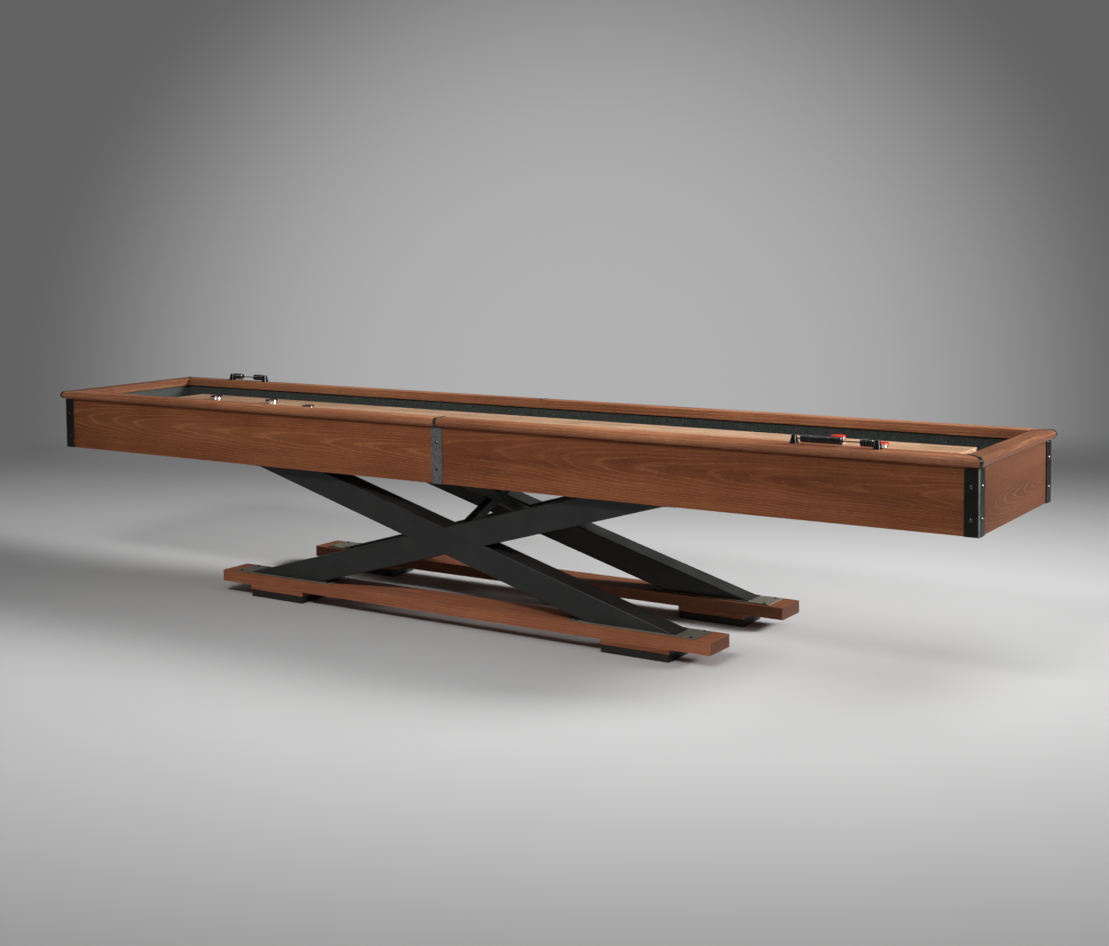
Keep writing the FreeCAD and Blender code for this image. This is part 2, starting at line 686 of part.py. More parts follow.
def leg_stock(side, lean, hollow):
    """A leg before its ends are cut level: lean +1 falls towards +X."""
    rounded, bore = square_tube("Dim.tube_size", "Dim.tube_wall", size["tube_radius"], LEG_STOCK)
    if hollow:
        stock = cut(rounded, bore)
    else:
        stock = group([rounded])
    turn(stock, Y_AXIS, lean * LEG_ANGLE)
    place(stock, "0", "%d * Dim.leg_offset" % side, "Dim.crossing_height")
    return stock


def make_legs():
    """Each frame has one whole leg and two half legs that butt against its faces."""
    height = "%s - %s" % (LEG_HIGH, LEG_LOW)
    for side_name, side in SIDES:
        y = "%d * Dim.leg_offset" % side
        level = middle_box(LEG_STOCK, "2 * Dim.tube_size", height, "0", y, LEG_LOW)
        keep(common(leg_stock(side, 1, True), level), "leg_whole_%s" % side_name)
        level = middle_box(LEG_STOCK, "2 * Dim.tube_size", height, "0", y, LEG_LOW)
        crossing = leg_stock(side, -1, True)
        keep(cut(common(crossing, level), leg_stock(side, 1, False)), "leg_halves_%s" % side_name)


def foot_bolt_spots():
    """Four bolts through each foot plate, on the top of the skids."""
    outer = LEG_CUT_HALF + size["outer_flange"] - size["plate_bolt_inset"]
    inner = LEG_CUT_HALF + size["inner_flange"] - size["plate_bolt_inset"]
    return [("%d * (Dim.leg_foot_x + %.3f)" % (end, step),
             "%d * Dim.leg_offset + %d * Dim.plate_bolt_offset" % (side, across), LEG_LOW)
            for _, side in SIDES for _, end in ENDS
            for step in (outer, -inner) for across in (-1, 1)]


def top_bolt_spots():
    """Four bolts up through each top plate, on its underside."""
    reach = LEG_CUT_HALF + size["top_flange"] - size["plate_bolt_inset"]
    return [("%d * (%.3f + %.3f)" % (end, LEG_TOP_X, step),
             "%d * Dim.leg_offset + %d * Dim.top_bolt_offset" % (side, across), LEG_HIGH)
            for _, side in SIDES for _, end in ENDS
            for step in (reach, -reach) for across in (-1, 1)]


def brace_bolt_spots():
    """Four bolts up through each of the cross-brace's plates."""
    inset = "(Dim.brace_plate_width / 2 - Dim.brace_bolt_inset)"
    reach = "(Dim.brace_plate_length / 2 - Dim.brace_bolt_inset)"
    return [("%d * %s" % (along, inset), "%d * Dim.brace_top_y + %d * %s" % (side, across, reach),
             LEG_HIGH) for _, side in SIDES for along in (-1, 1) for across in (-1, 1)]


def make_plates():
    flange = "(%.3f + Dim.outer_flange + %.3f + Dim.inner_flange)" % (LEG_CUT_HALF, LEG_CUT_HALF)
    shift = "(Dim.outer_flange - Dim.inner_flange) / 2"
    plates = [middle_box(flange, "Dim.foot_plate_width", "Dim.foot_plate_thickness",
                         "%d * (Dim.leg_foot_x + %s)" % (end, shift),
                         "%d * Dim.leg_offset" % side, SKID_TOP)
              for _, side in SIDES for _, end in ENDS]
    bores = holes(foot_bolt_spots(), HOLE_RADIUS, HOLE_DEPTH, -Z_AXIS)
    keep(cut(group(plates), bores), "foot_plates")

    length = "(2 * (%.3f + Dim.top_flange))" % LEG_CUT_HALF
    plates = [middle_box(length, "Dim.foot_plate_width", "Dim.top_plate_thickness",
                         "%d * %.3f" % (end, LEG_TOP_X), "%d * Dim.leg_offset" % side, LEG_HIGH)
              for _, side in SIDES for _, end in ENDS]
    plates += [middle_box("Dim.brace_plate_width", "Dim.brace_plate_length",
                          "Dim.top_plate_thickness", "0", "%d * Dim.brace_top_y" % side, LEG_HIGH)
               for _, side in SIDES]
    bores = holes(top_bolt_spots() + brace_bolt_spots(), HOLE_RADIUS, HOLE_DEPTH, Z_AXIS)
    keep(cut(group(plates), bores), "top_plates")

    bolts = [dome_bolt(Z_AXIS, *spot) for spot in foot_bolt_spots()]
    bolts += [dome_bolt(-Z_AXIS, *spot) for spot in top_bolt_spots() + brace_bolt_spots()]
    keep(group(bolts), "frame_bolts")


def brace_stock(lean, hollow):
    """A brace bar across the table in the middle plane: lean +1 rises towards +Y."""
    rounded, bore = square_tube("Dim.brace_size", "Dim.brace_wall", size["tube_radius"] / 2,
                                BRACE_STOCK)
    if hollow:
        stock = cut(rounded, bore)
    else:
        stock = group([rounded])
    reach = size["leg_offset"] - size["tube_size"] / 2
    rise = size["cabinet_bottom"] - size["top_plate_thickness"] - size["brace_low_height"]
    angle = math.atan2(rise, reach + size["brace_top_y"])
    upright = FreeCAD.Rotation(X_AXIS, lean * math.degrees(angle))
    stock.Placement = FreeCAD.Placement(FreeCAD.Vector(),
                                        upright.multiply(FreeCAD.Rotation(Z_AXIS, 90)))
    place(stock, "0", "0", "%.3f" % (size["brace_low_height"] + reach * math.tan(angle)))
    return stock


def make_brace():
    """A crossed pair of bars that ties the two frames to the cabinet's middle."""
    frame_face = "(Dim.leg_offset - Dim.tube_size / 2)"
    low = "(Dim.crossing_height - Dim.tube_size)"
    for lean, label in ((1, "brace_whole"), (-1, "brace_halves")):
        # The low end is cut upright at its frame's inner face and the high end level.
        span = middle_box("2 * Dim.brace_size", "3 * " + frame_face, "%s - %s" % (LEG_HIGH, low),
                          "0", "%d * %s / 2" % (lean, frame_face), low)
        bar = common(brace_stock(lean, True), span)
        if lean == -1:
            bar = cut(bar, brace_stock(1, False))
        keep(bar, label)


# ---------------------------------------------------------------- skids and feet

def make_skids():
    for side_name, side in SIDES:
        y = "%d * Dim.leg_offset" % side
        board = middle_box("Dim.skid_length", "Dim.skid_width", "Dim.skid_thickness",
                           "0", y, "Dim.skid_underside")
        rounded = round_edges(board, size["skid_radius"], lambda edge: runs_along(edge, Z_AXIS))
        bores = holes(foot_bolt_spots(), HOLE_RADIUS, HOLE_DEPTH, -Z_AXIS)
        keep(cut(rounded, bores), "skid_%s" % side_name)

    blocks = []
    pads = []
    for _, side in SIDES:
        for _, end in ENDS:
            x = "%d * (Dim.foot_inner_x + Dim.foot_length / 2)" % end
            y = "%d * Dim.leg_offset" % side
            blocks.append(middle_box("Dim.foot_length", "Dim.skid_width", "Dim.foot_block_height",
                                     x, y, "Dim.skid_underside - Dim.foot_block_height"))
            pads.append(middle_box("Dim.foot_length - 2 * Dim.foot_pad_inset",
                                   "Dim.skid_width - 2 * Dim.foot_pad_inset",
                                   "Dim.skid_underside - Dim.foot_block_height", x, y, "0"))
    keep(group(blocks), "foot_blocks")
    keep(group(pads), "foot_pads")


# ---------------------------------------------------------------- scorers

SCORERS = (("near", -1, "Dim.near_scorer_x", "Dim.near_scorer_span"),
           ("far", 1, "Dim.far_scorer_x", "Dim.far_scorer_span"))
# Beads at the left and right stand of each scorer, and the slack at the left stand.
BEADS = {"near": (16, 5, "Dim.near_bead_slack"), "far": (6, 6, "0")}


def scorer_stand(x, y):
    """A tapered block with rounded upright edges and a blind hole for the rod."""
    shape = doc.addObject("Part::Wedge", "Stand")
    half_base = "Dim.stand_base / 2"
    half_crown = "Dim.stand_crown / 2"
    bind(shape, Xmin="-" + half_base, Xmax=half_base, Zmin="-" + half_base, Zmax=half_base,
         X2min="-" + half_crown, X2max=half_crown, Z2min="-" + half_crown, Z2max=half_crown,
         Ymin="0", Ymax="Dim.stand_height")
    doc.recompute()
    rounded = round_edges(shape, size["stand_edge_radius"], lambda edge: abs(
        edge.Vertexes[0].Point.y - edge.Vertexes[1].Point.y) > NEAR_BY)
    holder = group([rounded])
    turn(holder, X_AXIS, 90)
    place(holder, x, y, RAIL_TOP)
    return holder


def make_scorers():
    stands = []
    rods = []
    for _, side, x, span in SCORERS:
        y = "%d * Dim.scorer_y" % side
        z = "%s + Dim.rod_height" % RAIL_TOP
        bore = rod("Dim.rod_radius + Dim.rod_socket_clearance",
                   "%s + 2 * Dim.rod_end_gap" % span, X_AXIS,
                   "%s - %s / 2 - Dim.rod_end_gap" % (x, span), y, z)
        pair = group([scorer_stand("%s - %s / 2" % (x, span), y),
                      scorer_stand("%s + %s / 2" % (x, span), y)])
        stands.append(cut(pair, bore))
        rods.append(rod("Dim.rod_radius", span, X_AXIS, "%s - %s / 2" % (x, span), y, z))
    keep(group(stands), "scorer_stands")
    keep(group(rods), "scorer_rods")


def bead(x, y, z):
    """One ridged disc on a scorer's rod, starting at x."""
    disc = rod("Dim.bead_radius", "Dim.bead_thickness", X_AXIS)
    rounded = round_edges(disc, size["bead_rim"], lambda edge: isinstance(edge.Curve, Part.Circle))
    bore = rod("Dim.rod_radius + Dim.rod_clearance", "Dim.bead_thickness + 2 * Dim.tool_spare",
               X_AXIS, "-Dim.tool_spare")
    piece = cut(rounded, bore)
    place(piece, x, y, z)
    return piece


def make_beads():
    for name, side, x, span in SCORERS:
        y = "%d * Dim.scorer_y" % side
        z = "%s + Dim.rod_height" % RAIL_TOP
        left, right, slack = BEADS[name]
        left_start = "%s - %s / 2 + Dim.bead_stop + %s" % (x, span, slack)
        right_start = "%s + %s / 2 - Dim.bead_stop - %d * Dim.bead_pitch" % (x, span, right)
        for end_name, start, count in (("left", left_start, left), ("right", right_start, right)):
            beads = [bead("%s + %d * Dim.bead_pitch" % (start, i), y, z) for i in range(count)]
            keep(group(beads), "scorer_beads_%s_%s" % (name, end_name))


# ---------------------------------------------------------------- pucks

# Name, x and y of each puck on the board.
PUCKS = (
    ("black_1", -1663, 110), ("black_2", -1317, 110), ("black_3", -1009, 12),
    ("black_4", -1480, -120), ("red_1", 1399, 197), ("red_2", 1605, 92),
    ("red_3", 1500, -182), ("red_4", 1720, -120),
)


def puck_weight():
    """A steel weight turned with a hollow waist and a shallow socket for its cap."""
    body = doc.addObject("PartDesign::Body", "Weight")
    sketch = new_sketch(body, "XZ_Plane")
    corner_outline(sketch, [
        ("0", "0"), ("Dim.puck_foot_radius - Dim.puck_foot_chamfer", "0"),
        ("Dim.puck_foot_radius", "Dim.puck_foot_chamfer"),
        ("Dim.puck_foot_radius", "Dim.puck_foot_height"),
        ("Dim.puck_waist_radius", "Dim.puck_waist_low"),
        ("Dim.puck_waist_radius", "Dim.puck_waist_high"),
        ("Dim.puck_radius", "Dim.puck_rim_low"),
        ("Dim.puck_radius", "Dim.puck_weight_height - Dim.puck_rim_chamfer"),
        ("Dim.puck_radius - Dim.puck_rim_chamfer", "Dim.puck_weight_height"),
        ("Dim.puck_bore_radius", "Dim.puck_weight_height"),
        ("Dim.puck_bore_radius", "Dim.puck_weight_height - Dim.puck_bore_depth"),
        ("0", "Dim.puck_weight_height - Dim.puck_bore_depth")])
    revolve(body, sketch)
    return body


def puck_cap():
    """A plastic cap with a spigot that plugs into the weight."""
    body = doc.addObject("PartDesign::Body", "Cap")
    sketch = new_sketch(body, "XZ_Plane")
    spigot_end = "Dim.cap_spigot_gap - Dim.puck_bore_depth"
    spigot_radius = "Dim.puck_bore_radius - Dim.cap_spigot_clearance"
    corner_outline(sketch, [
        ("0", spigot_end), (spigot_radius, spigot_end), (spigot_radius, "0"),
        ("Dim.cap_radius", "0"), ("Dim.cap_radius", "Dim.cap_height - Dim.cap_round"),
        ("Dim.cap_radius - Dim.cap_round", "Dim.cap_height"), ("0", "Dim.cap_height")])
    revolve(body, sketch)
    return body


def revolve(body, sketch):
    turned = body.newObject("PartDesign::Revolution", "Turned")
    turned.Profile = sketch
    turned.ReferenceAxis = (sketch, ["V_Axis"])
    turned.Angle = 360
    body.Tip = turned


def make_pucks():
    for name, x, y in PUCKS:
        weight = puck_weight()
        place(weight, str(x), str(y), "Dim.board_top + Dim.puck_gap")
        keep(weight, "puck_%s_weight" % name)
        cap = puck_cap()
        place(cap, str(x), str(y), "Dim.board_top + Dim.puck_gap + Dim.puck_weight_height")
        keep(cap, "puck_%s_cap" % name)


# ---------------------------------------------------------------- build, test and write

make_panels()
make_floor()
make_board()
make_adjuster_bolts()
make_carpet()
make_rails()
make_rail_bands()
make_brackets()
make_legs()
make_plates()
make_brace()
make_skids()
make_scorers()
make_beads()
make_pucks()
doc.recompute()

for item in doc.Objects:
    if "Invalid" in item.State or "Error" in item.State:
        raise RuntimeError("%s (%s) failed: %s" % (item.Name, item.Label, item.State))
for part in subparts:
    if part.Shape.isNull() or not part.Shape.isValid():
        raise RuntimeError("%s has no valid shape" % part.Label)

os.makedirs("parts", exist_ok=True)
for part in subparts:
    part.Shape.exportStep("parts/%s.step" % part.Label)
    print("%-28s solids %3d  volume %12.0f mm3" % (
        part.Label, len(part.Shape.Solids), part.Shape.Volume))
print(len(subparts), "sub-parts written")
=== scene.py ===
"""Looks for the shuffleboard table: finished pieces, procedural materials, light and camera.

Lengths are in metres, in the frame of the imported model: X along the table, Y across it
with the near side negative, Z up from the floor.
"""

import json
import math
import random

import bmesh
import bpy
from mathutils import Matrix, Vector


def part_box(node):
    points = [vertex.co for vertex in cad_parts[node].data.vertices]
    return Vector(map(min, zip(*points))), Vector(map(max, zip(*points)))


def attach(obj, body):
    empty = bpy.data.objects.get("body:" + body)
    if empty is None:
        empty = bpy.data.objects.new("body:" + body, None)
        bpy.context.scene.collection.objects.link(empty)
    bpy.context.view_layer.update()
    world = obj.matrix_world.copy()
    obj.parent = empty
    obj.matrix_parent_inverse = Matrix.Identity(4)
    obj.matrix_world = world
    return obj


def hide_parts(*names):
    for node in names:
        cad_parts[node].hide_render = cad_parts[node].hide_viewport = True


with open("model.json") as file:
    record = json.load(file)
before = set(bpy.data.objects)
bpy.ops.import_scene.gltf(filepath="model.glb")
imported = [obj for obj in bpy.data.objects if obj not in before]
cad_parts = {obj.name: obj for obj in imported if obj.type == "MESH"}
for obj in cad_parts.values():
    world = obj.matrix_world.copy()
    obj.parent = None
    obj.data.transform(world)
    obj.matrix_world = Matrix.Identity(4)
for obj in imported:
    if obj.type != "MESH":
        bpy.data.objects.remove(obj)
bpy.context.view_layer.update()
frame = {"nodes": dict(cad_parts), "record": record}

MM = 0.001

BODIES = frame["record"]["behaviour"]["bodies"]
BODY_OF = {node: body for body, nodes in BODIES.items() for node in nodes}


# ---------------------------------------------------------------- shader nodes

def shade(colour, factor, lift=0.0):
    """A colour made lighter or darker, held at white."""
    return tuple(min(1.0, lift + channel * factor) for channel in colour)


class Finish:
    """A material under construction, with one short call for each kind of node."""

    def __init__(self, name):
        self.material = bpy.data.materials.new(name)
        self.material.use_nodes = True
        self.tree = self.material.node_tree
        self.shader = self.tree.nodes["Principled BSDF"]

    def give(self, socket, value):
        """Links or sets one input socket."""
        if isinstance(value, bpy.types.NodeSocket):
            self.tree.links.new(value, socket)
        else:
            socket.default_value = value

    def node(self, kind, settings=(), **inputs):
        made = self.tree.nodes.new("ShaderNode" + kind)
        for key, value in dict(settings).items():
            setattr(made, key, value)
        for key, value in inputs.items():
            self.give(made.inputs[key], value)
        return made

    def numbered(self, kind, settings, values):
        """A node whose inputs are given in their order, because their names repeat."""
        made = self.node(kind, settings)
        for socket, value in zip(made.inputs, values):
            self.give(socket, value)
        return made

    def place(self):
        """The point of the surface in the table's own frame."""
        return self.node("TexCoord").outputs["Object"]

    def layer(self, name, output="Fac"):
        """A value that the mesh carries at its points."""
        return self.node("Attribute", {"attribute_name": name}).outputs[output]

    def mapped(self, vector, scale=(1, 1, 1), turn=(0, 0, 0)):
        return self.node("Mapping", Vector=vector, Scale=scale, Rotation=turn).outputs["Vector"]

    def noise(self, vector, scale, detail=3.0, roughness=0.55):
        """Cloudy noise. Three scales give noise that is drawn out along an axis."""
        if isinstance(scale, tuple):
            vector, scale = self.mapped(vector, scale), 1.0
        return self.node("TexNoise", Vector=vector, Scale=scale, Detail=detail,
                         Roughness=roughness).outputs["Fac"]

    def grain(self, vector, along, across, detail, roughness=0.55):
        """Noise drawn out along X, with its scale along the grain and across it."""
        return self.noise(vector, (along, across, across), detail, roughness)

    def cells(self, vector, scale):
        return self.node("TexVoronoi", Vector=vector, Scale=scale).outputs["Distance"]

    def hashed(self, vector):
        """A random value for each whole-numbered cell."""
        return self.node("TexWhiteNoise", Vector=vector).outputs["Value"]

    def maths(self, operation, *values):
        return self.numbered("Math", {"operation": operation}, values).outputs["Value"]

    def vector(self, operation, *values):
        made = self.numbered("VectorMath", {"operation": operation}, values)
        return made.outputs["Value" if operation == "LENGTH" else "Vector"]

    def parts(self, vector):
        made = self.node("SeparateXYZ", Vector=vector)
        return made.outputs["X"], made.outputs["Y"], made.outputs["Z"]

    def joined(self, x, y, z):
        return self.node("CombineXYZ", X=x, Y=y, Z=z).outputs["Vector"]

    def swing(self, base, value, amount):
        """Moves base up or down by amount times how far value is from a half."""
        return self.maths("MULTIPLY_ADD", self.maths("SUBTRACT", value, 0.5), amount, base)

    def levels(self, value, low, high, to_low=0.0, to_high=1.0):
        """Maps low..high of a value to to_low..to_high, and holds it there."""
        return self.numbered("MapRange", {"interpolation_type": "SMOOTHSTEP"},
                             (value, low, high, to_low, to_high)).outputs["Result"]

    def ramp(self, value, *stops):
        made = self.node("ValToRGB", Fac=value)
        elements = made.color_ramp.elements
        while len(elements) < len(stops):
            elements.new(1.0)
        for element, (position, colour) in zip(elements, stops):
            element.position = position
            element.color = (*colour, 1.0)
        return made.outputs["Color"]

    def mix(self, share, first, second, blend="MIX"):
        made = self.node("MixRGB", {"blend_type": blend}, Fac=share)
        for key, colour in (("Color1", first), ("Color2", second)):
            is_plain = isinstance(colour, tuple)
            self.give(made.inputs[key], (*colour, 1.0) if is_plain else colour)
        return made.outputs["Color"]

    def relief(self, *layers):
        """A surface raised by each height times its depth, one on top of another."""
        normal = None
        for height, depth in layers:
            made = self.node("Bump", Height=height, Distance=depth, Strength=1.0)
            if normal is not None:
                self.tree.links.new(normal, made.inputs["Normal"])
            normal = made.outputs["Normal"]
        return normal

    def done(self, **sockets):
        """Gives the shader its sockets: underscores in the names stand for spaces."""
        for key, value in sockets.items():
            self.give(self.shader.inputs[key.replace("_", " ")], value)
        return self.material


# ---------------------------------------------------------------- wood

RINGS_PER_METRE = 135.0
RING_SHAKE = 0.8
# How far the log's axis wanders, and its slope in height as a share of that in depth.
LOG_WANDER = 0.04
SIDE_LEAN = 0.4
# How far each figure moves the stain between its dark and light colours.
STREAK_SWING = 0.65
FIBRE_SWING = 0.42
BOARD_SWING = 0.8
BLOTCH_SWING = 0.35
PORE_SHARE = 0.22
FLECK_SHARE = 0.5
OAK_SPECULAR = 0.18
OAK_COAT_ROUGHNESS = 0.28
# Each figure's scales along and across the grain per metre, its detail and roughness.
OAK_FIGURES = {
    "wander": (1.1, 2.5, 2.0, 0.55),
    "shake": (7.0, 45.0, 3.0, 0.55),
    "fibre": (14.0, 480.0, 4.0, 0.65),
    "streak": (1.5, 38.0, 5.0, 0.6),
    "board": (0.7, 5.0, 2.0, 0.55),
    "blotch": (5.0, 5.0, 3.0, 0.55),
    "pores": (75.0, 1400.0, 1.0, 0.55),
    "ticks": (55.0, 420.0, 2.0, 0.55),
    "fleck": (95.0, 330.0, 1.0, 0.55),
}


def oak(name, dark, middle, light, roughness, coat):
    """Stained oak, cut from a log whose axis the mesh's "log" layer places.

    Growth rings round that axis give straight grain or cathedrals by where the plank
    lies in the log, drawn as pale broken lines as strong as the "figure" layer says. The
    "lean" layer is the slope of the plank across the log, and "sawn" is how dark the end
    grain is. The "tone" layer is painted light and shade: it makes the whole plank
    lighter above 0, or darker below 0, as if it were lit or shaded. A mesh without the
    layers gets plain straight grain.
    """
    f = Finish(name)
    point = f.place()
    lean = f.layer("lean")
    across = f.layer("across")
    turned = f.mapped(point, turn=(0, 0, math.pi / 2))
    log = f.vector("ADD", f.mix(across, point, turned), f.layer("log", "Vector"))

    figures = {key: f.grain(log, *settings) for key, settings in OAK_FIGURES.items()}
    fibre, streak, board = figures["fibre"], figures["streak"], figures["board"]
    pores = f.levels(figures["pores"], 0.57, 0.7)
    ticks = f.levels(figures["ticks"], 0.46, 0.62)
    fleck = f.levels(figures["fleck"], 0.66, 0.75)

    x, y, z = f.parts(log)
    drift = f.maths("MULTIPLY", f.maths("SUBTRACT", figures["wander"], 0.5), LOG_WANDER)
    side_lean = f.maths("MULTIPLY", lean, SIDE_LEAN)
    y = f.maths("ADD", f.maths("MULTIPLY_ADD", x, lean, y), drift)
    z = f.maths("ADD", f.maths("MULTIPLY_ADD", x, side_lean, z), drift)
    radius = f.vector("LENGTH", f.joined(0.0, y, z))
    shake = f.maths("MULTIPLY", figures["shake"], RING_SHAKE)
    growth = f.maths("FRACT", f.maths("MULTIPLY_ADD", radius, RINGS_PER_METRE, shake))
    line = f.maths("MULTIPLY", f.levels(growth, 0.0, 0.14), f.levels(growth, 0.36, 0.18))

    stain = f.swing(0.5, streak, STREAK_SWING)
    stain = f.swing(stain, fibre, FIBRE_SWING)
    stain = f.swing(stain, board, BOARD_SWING)
    stain = f.swing(stain, figures["blotch"], BLOTCH_SWING)
    colour = f.ramp(stain, (0.15, dark), (0.5, middle), (0.95, light))
    colour = f.mix(f.maths("MULTIPLY", pores, PORE_SHARE), colour, shade(dark, 0.5))
    patchy = f.levels(board, 0.3, 0.65, 0.25, 1.0)
    shown = f.maths("MULTIPLY", f.maths("MULTIPLY", line, patchy), f.layer("figure"))
    shown = f.maths("MULTIPLY", shown, f.maths("MULTIPLY_ADD", ticks, 0.7, 0.3))
    pale = shade(light, 1.5)
    colour = f.mix(shown, colour, pale)
    colour = f.mix(f.maths("MULTIPLY", fleck, FLECK_SHARE), colour, light)

    face_x, face_y, _ = f.parts(f.node("TexCoord").outputs["Normal"])
    end_grain = f.mix(across, f.maths("ABSOLUTE", face_x), f.maths("ABSOLUTE", face_y))
    end_grain = f.maths("MULTIPLY", f.levels(end_grain, 0.8, 0.95), f.layer("sawn"))
    colour = f.mix(end_grain, colour, shade(dark, 0.7))
    rubbed_and_highlit = f.maths("MULTIPLY", f.layer("wear_and_highlight"), f.levels(streak, 0.35, 0.6, 0.25, 0.7))
    colour = f.mix(rubbed_and_highlit, colour, pale)
    # Painted light and shade: the whole plank lighter or darker, as if lit or shaded.
    colour = f.mix(1.0, colour, f.maths("ADD", f.layer("tone_and_painted_shading"), 1.0), "MULTIPLY")

    rough = f.swing(f.maths("MULTIPLY_ADD", pores, 0.25, roughness), streak, 0.25)
    relief = f.relief((fibre, 0.12 * MM), (f.maths("SUBTRACT", 1.0, pores), 0.3 * MM))
    return f.done(Base_Color=colour, Roughness=rough, Normal=relief, Coat_Weight=coat,
                  Coat_Roughness=OAK_COAT_ROUGHNESS, Specular_IOR_Level=OAK_SPECULAR)


STAVE_WIDTH = 42.33 * MM
STAVE_LENGTH = 0.92
# Whole numbers that give each random value of the staves its own run.
ROW_SEED, OWN_SEED, OTHER_SEED = 3.0, 7.0, 29.0
ROW_SHIFT = 17.0
STAVE_SHIFT = (9.0, 3.0)
SEAM_COLOUR = (0.22, 0.11, 0.06)
MAPLE_WORN = (0.78, 0.6, 0.42)


def maple(name, dark, middle, light):
    """Laminated maple staves along the table, under a poured clear finish."""
    f = Finish(name)
    point = f.place()
    x, y, _ = f.parts(point)
    across = f.maths("DIVIDE", y, STAVE_WIDTH)
    row = f.maths("FLOOR", across)
    row_start = f.maths("MULTIPLY", f.hashed(f.joined(row, ROW_SEED, 0.0)), ROW_SHIFT)
    down = f.maths("ADD", f.maths("DIVIDE", x, STAVE_LENGTH), row_start)
    stave = f.maths("FLOOR", down)
    own = f.hashed(f.joined(row, stave, OWN_SEED))
    other = f.hashed(f.joined(row, stave, OTHER_SEED))

    shift = f.joined(f.maths("MULTIPLY", own, STAVE_SHIFT[0]), 0.0,
                     f.maths("MULTIPLY", other, STAVE_SHIFT[1]))
    shifted = f.vector("ADD", point, shift)
    grain = f.grain(shifted, 2.4, 75.0, detail=5.0, roughness=0.6)
    fine = f.grain(shifted, 14.0, 700.0, detail=2.0)
    cloud = f.grain(shifted, 1.2, 9.0, detail=2.0)
    tone_and_painted_shading = f.maths("MULTIPLY_ADD", own, 0.5, f.maths("MULTIPLY", grain, 0.55))
    tone_and_painted_shading = f.maths("MULTIPLY_ADD", cloud, 0.25, f.maths("SUBTRACT", tone_and_painted_shading, 0.13))
    tone_and_painted_shading = f.swing(tone_and_painted_shading, fine, 0.16)
    colour = f.ramp(tone_and_painted_shading, (0.1, dark), (0.45, middle), (0.9, light))

    side_edge = f.maths("PINGPONG", f.maths("ADD", across, 0.5), 0.5)
    end_edge = f.maths("PINGPONG", f.maths("ADD", down, 0.5), 0.5)
    seam = f.maths("MAXIMUM", f.levels(side_edge, 0.488, 0.498),
                   f.levels(end_edge, 0.4994, 0.4999))
    colour = f.mix(f.maths("MULTIPLY", seam, 0.45), colour, SEAM_COLOUR)
    colour = f.mix(f.maths("MULTIPLY", f.layer("wear_and_highlight"), 0.4), colour, MAPLE_WORN)
    rough = f.levels(f.noise(point, 6.0), 0.3, 0.7, 0.2, 0.34)
    relief = f.relief((grain, 0.05 * MM), (f.maths("SUBTRACT", 1.0, seam), 0.1 * MM))
    return f.done(Base_Color=colour, Roughness=rough, Normal=relief, Coat_Weight=0.5,
                  Coat_Roughness=0.12)


# ---------------------------------------------------------------- metal, plastic and carpet

def powder_coat(name, base, roughness, specular, worn_and_highlight):
    """Textured powder coat, paler along its edges from rubbing; on the brackets that pale edge
    colour is a painted highlight.
    """
    f = Finish(name)
    point = f.place()
    orange_peel = f.noise(point, 420.0, detail=2.0)
    grit = f.noise(point, 1500.0, detail=2.0)
    handled = f.noise(point, 7.0, detail=4.0, roughness=0.62)
    colour = f.mix(f.levels(handled, 0.35, 0.7), base, shade(base, 1.6))
    colour = f.mix(f.levels(grit, 0.6, 0.72, 0.0, 0.3), colour, shade(base, 2.5))
    # Edge colour: rubbing on the frame and plates, and a painted highlight on the brackets.
    rubbed_and_highlit = f.maths("MULTIPLY", f.layer("wear_and_highlight"), f.levels(handled, 0.3, 0.65, 0.4, 0.9))
    colour = f.mix(rubbed_and_highlit, colour, worn_and_highlight)
    rough = f.levels(handled, 0.3, 0.7, roughness - 0.06, roughness + 0.1)
    relief = f.relief((orange_peel, 0.10 * MM), (grit, 0.05 * MM))
    return f.done(Base_Color=colour, Roughness=rough, Normal=relief, Specular_IOR_Level=specular)


def worked_metal(name, base, roughness, metallic, brush, tarnish=0.35, wear_and_highlight=0.5):
    """Bare or plated metal with dull patches, and surface marks at the scales of brush."""
    f = Finish(name)
    point = f.place()
    lines = f.noise(point, brush, roughness=0.6)
    patches = f.noise(point, 26.0, detail=4.0, roughness=0.6)
    spots = f.noise(point, 340.0, detail=2.0)
    dull = shade(base, 0.6)
    colour = f.mix(f.levels(lines, 0.3, 0.7), dull, shade(base, 1.3))
    colour = f.mix(f.levels(patches, 0.45, 0.75, 0.0, tarnish), colour, dull)
    worn_and_highlight = f.maths("MULTIPLY", f.layer("wear_and_highlight"), wear_and_highlight)
    colour = f.mix(worn_and_highlight, colour, shade(base, 1.8, lift=0.05))
    rough = f.levels(patches, 0.3, 0.7, roughness - 0.05, roughness + 0.09)
    rough = f.swing(rough, lines, 0.12)
    relief = f.relief((lines, 0.03 * MM), (spots, 0.03 * MM))
    return f.done(Base_Color=colour, Roughness=rough, Normal=relief, Metallic=metallic)


def moulded(name, base, roughness, worn_and_highlight, mark=1.6, specular=0.5):
    """Moulded plastic or rubber with a fine texture, faint scuffs and edges paler from rubbing;
    on the stands the silver edge colour is a painted highlight.
    """
    f = Finish(name)
    point = f.place()
    texture = f.noise(point, 900.0, detail=2.0)
    scuffs = f.noise(point, (60.0, 25.0, 60.0), detail=4.0, roughness=0.65)
    colour = f.mix(f.levels(scuffs, 0.5, 0.8, 0.0, 0.5), base, shade(base, mark))
    # Edge colour: rubbing on most parts, and a painted highlight on the stands.
    rubbed_and_highlit = f.maths("MULTIPLY", f.layer("wear_and_highlight"), f.levels(scuffs, 0.3, 0.6, 0.3, 0.8))
    colour = f.mix(rubbed_and_highlit, colour, worn_and_highlight)
    rough = f.levels(scuffs, 0.35, 0.75, roughness - 0.04, roughness + 0.14)
    return f.done(Base_Color=colour, Roughness=rough, Specular_IOR_Level=specular,
                  Normal=f.relief((texture, 0.03 * MM)))


